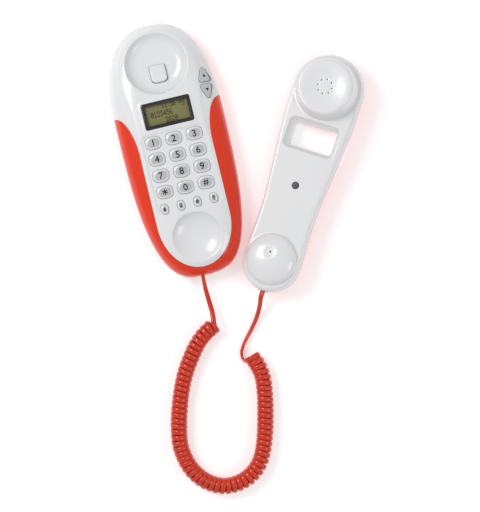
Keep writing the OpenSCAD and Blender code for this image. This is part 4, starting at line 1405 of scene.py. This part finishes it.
def carried_widths(points, first, twist_deg):
    """The width's direction along a lead: carried on from the coil's end, and twisted evenly."""
    heading = unit(np.gradient(points, axis=0))
    widths, now = [], np.asarray(first, float)
    for k, along in enumerate(heading):
        now = unit(now - now.dot(along) * along)
        angle = math.radians(twist_deg) * k / len(heading)
        widths.append(math.cos(angle) * now + math.sin(angle) * np.cross(along, now))
    return np.array(widths)


def cord_line():
    """The whole cord: from the base's plug through the coil to the handset's plug, with the direction
    of its width at each point."""
    coil, coil_width = coil_points()
    inner = [tuple(HANDSET_PLACE @ Vector(p)) for p in ((0, -107, 9.4), (0, -103.5, 10), (0, -100.4, 10))]
    head = smooth_route(BASE_LEAD + [tuple(coil[k]) for k in (0, 3, 6)], 1.0)
    tail = smooth_route([tuple(coil[k]) for k in (-7, -4, -1)] + HANDSET_LEAD + inner, 1.0)
    head = head[:np.linalg.norm(head - coil[0], axis=1).argmin()]
    tail = tail[np.linalg.norm(tail - coil[-1], axis=1).argmin() + 1:]
    head_width = carried_widths(head[::-1], coil_width[0], 70)[::-1]
    tail_width = carried_widths(tail, coil_width[-1], 55)
    points = np.vstack([head, coil, tail])
    widths = np.vstack([head_width, coil_width, tail_width])
    along = along_line(points)
    at = np.linspace(0, along[-1], int(along[-1] / CORD_STEP))
    points, widths = read_off(points, along, at), read_off(widths, along, at)
    for join in (int(len(head) / CORD_STEP), len(at) - int(len(tail) / CORD_STEP)):
        near = slice(join - 8, join + 9)
        for _ in range(8):
            for part in (points[near], widths[near]):
                part[1:-1] = (part[:-2] + 2 * part[1:-1] + part[2:]) / 4
    return points, unit(widths)


def build_cord():
    """One flat-oval vinyl cord as a mesh tube, with the turns of its coil close beside each other."""
    points, widths = cord_line()
    heading = unit(np.gradient(points, axis=0))
    widths = unit(widths - (widths * heading).sum(axis=1)[:, None] * heading)
    thick = np.cross(heading, widths)
    mesh = bmesh.new()
    angles = np.linspace(0, 2 * math.pi, 14, endpoint=False)
    c, s = np.cos(angles), np.sin(angles)
    shape = np.column_stack([CORD_WIDTH / 2 * np.sign(c) * np.abs(c) ** 0.85,
                             CORD_THICK / 2 * np.sign(s) * np.abs(s) ** 0.85])
    rings = [points[k] + shape[:, :1] * widths[k] + shape[:, 1:] * thick[k] for k in range(len(points))]
    loft(mesh, rings, cap_first=True, cap_last=True)
    piece = make_piece("curly_cord", mesh, [CORD], None)
    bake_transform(piece)
    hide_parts("base_lead", "cord_coil", "handset_lead")


build_cord()


# ---------------------------------------------------------------- materials of the CAD's own pieces

# The CAD's own pieces that are shown as they are, by material
CARRIED = {
    INNER_WHITE: ["display_holder"],
    BOARD: ["main_board"],
    MAT: ["keypad_mat", "arrow_key_mat"],
    RUBBER: ["receiver_ring", "microphone_boot"],
    BRASS: ["ringer_disc"],
    DARK: ["hook_switch", "line_jack", "base_cord_jack", "handset_cord_jack", "ringer_switch_body",
           "ringer_switch_knob"],
    STEEL: ["base_screws", "battery_contacts", "receiver_capsule", "microphone", "handset_screw",
            "handset_weight"],
    SLEEVE: ["battery_cells"],
    CLEAR_PLUG: ["base_plug", "handset_plug"],
}
for material, names in CARRIED.items():
    for name in names:
        nodes[name].data.materials.clear()
        nodes[name].data.materials.append(material)


# ---------------------------------------------------------------- floor, light and finish

def area_light(name, place, size, power):
    """A rectangular light that faces the middle of the phone."""
    data = bpy.data.lights.new(name, "AREA")
    data.shape = "RECTANGLE"
    data.size, data.size_y = size
    data.energy = power
    light = bpy.data.objects.new(name, data)
    light.location = place
    light.rotation_mode = "QUATERNION"
    light.rotation_quaternion = (Vector((0.02, -0.05, 0)) - Vector(place)).to_track_quat("-Z", "Y")
    scene.collection.objects.link(light)


def build_floor():
    """The plain pale floor, a little below the lowest pieces."""
    mesh = bmesh.new()
    bmesh.ops.create_grid(mesh, x_segments=8, y_segments=8, size=3)
    data = bpy.data.meshes.new("floor")
    mesh.to_mesh(data)
    mesh.free()
    data.materials.append(floor_material())
    floor = bpy.data.objects.new("floor", data)
    floor.location = (0, 0, -0.0002)
    scene.collection.objects.link(floor)


build_floor()
world = bpy.data.worlds.new("studio")
world.use_nodes = True
world.node_tree.nodes["Background"].inputs["Color"].default_value = (1, 1, 1, 1)
world.node_tree.nodes["Background"].inputs["Strength"].default_value = 0.57
scene.world = world
area_light("key_light", (-0.55, 0.45, 0.9), (0.5, 0.5), 5.8)
area_light("low_fill", (0.6, -0.5, 0.7), (0.35, 0.35), 1.4)
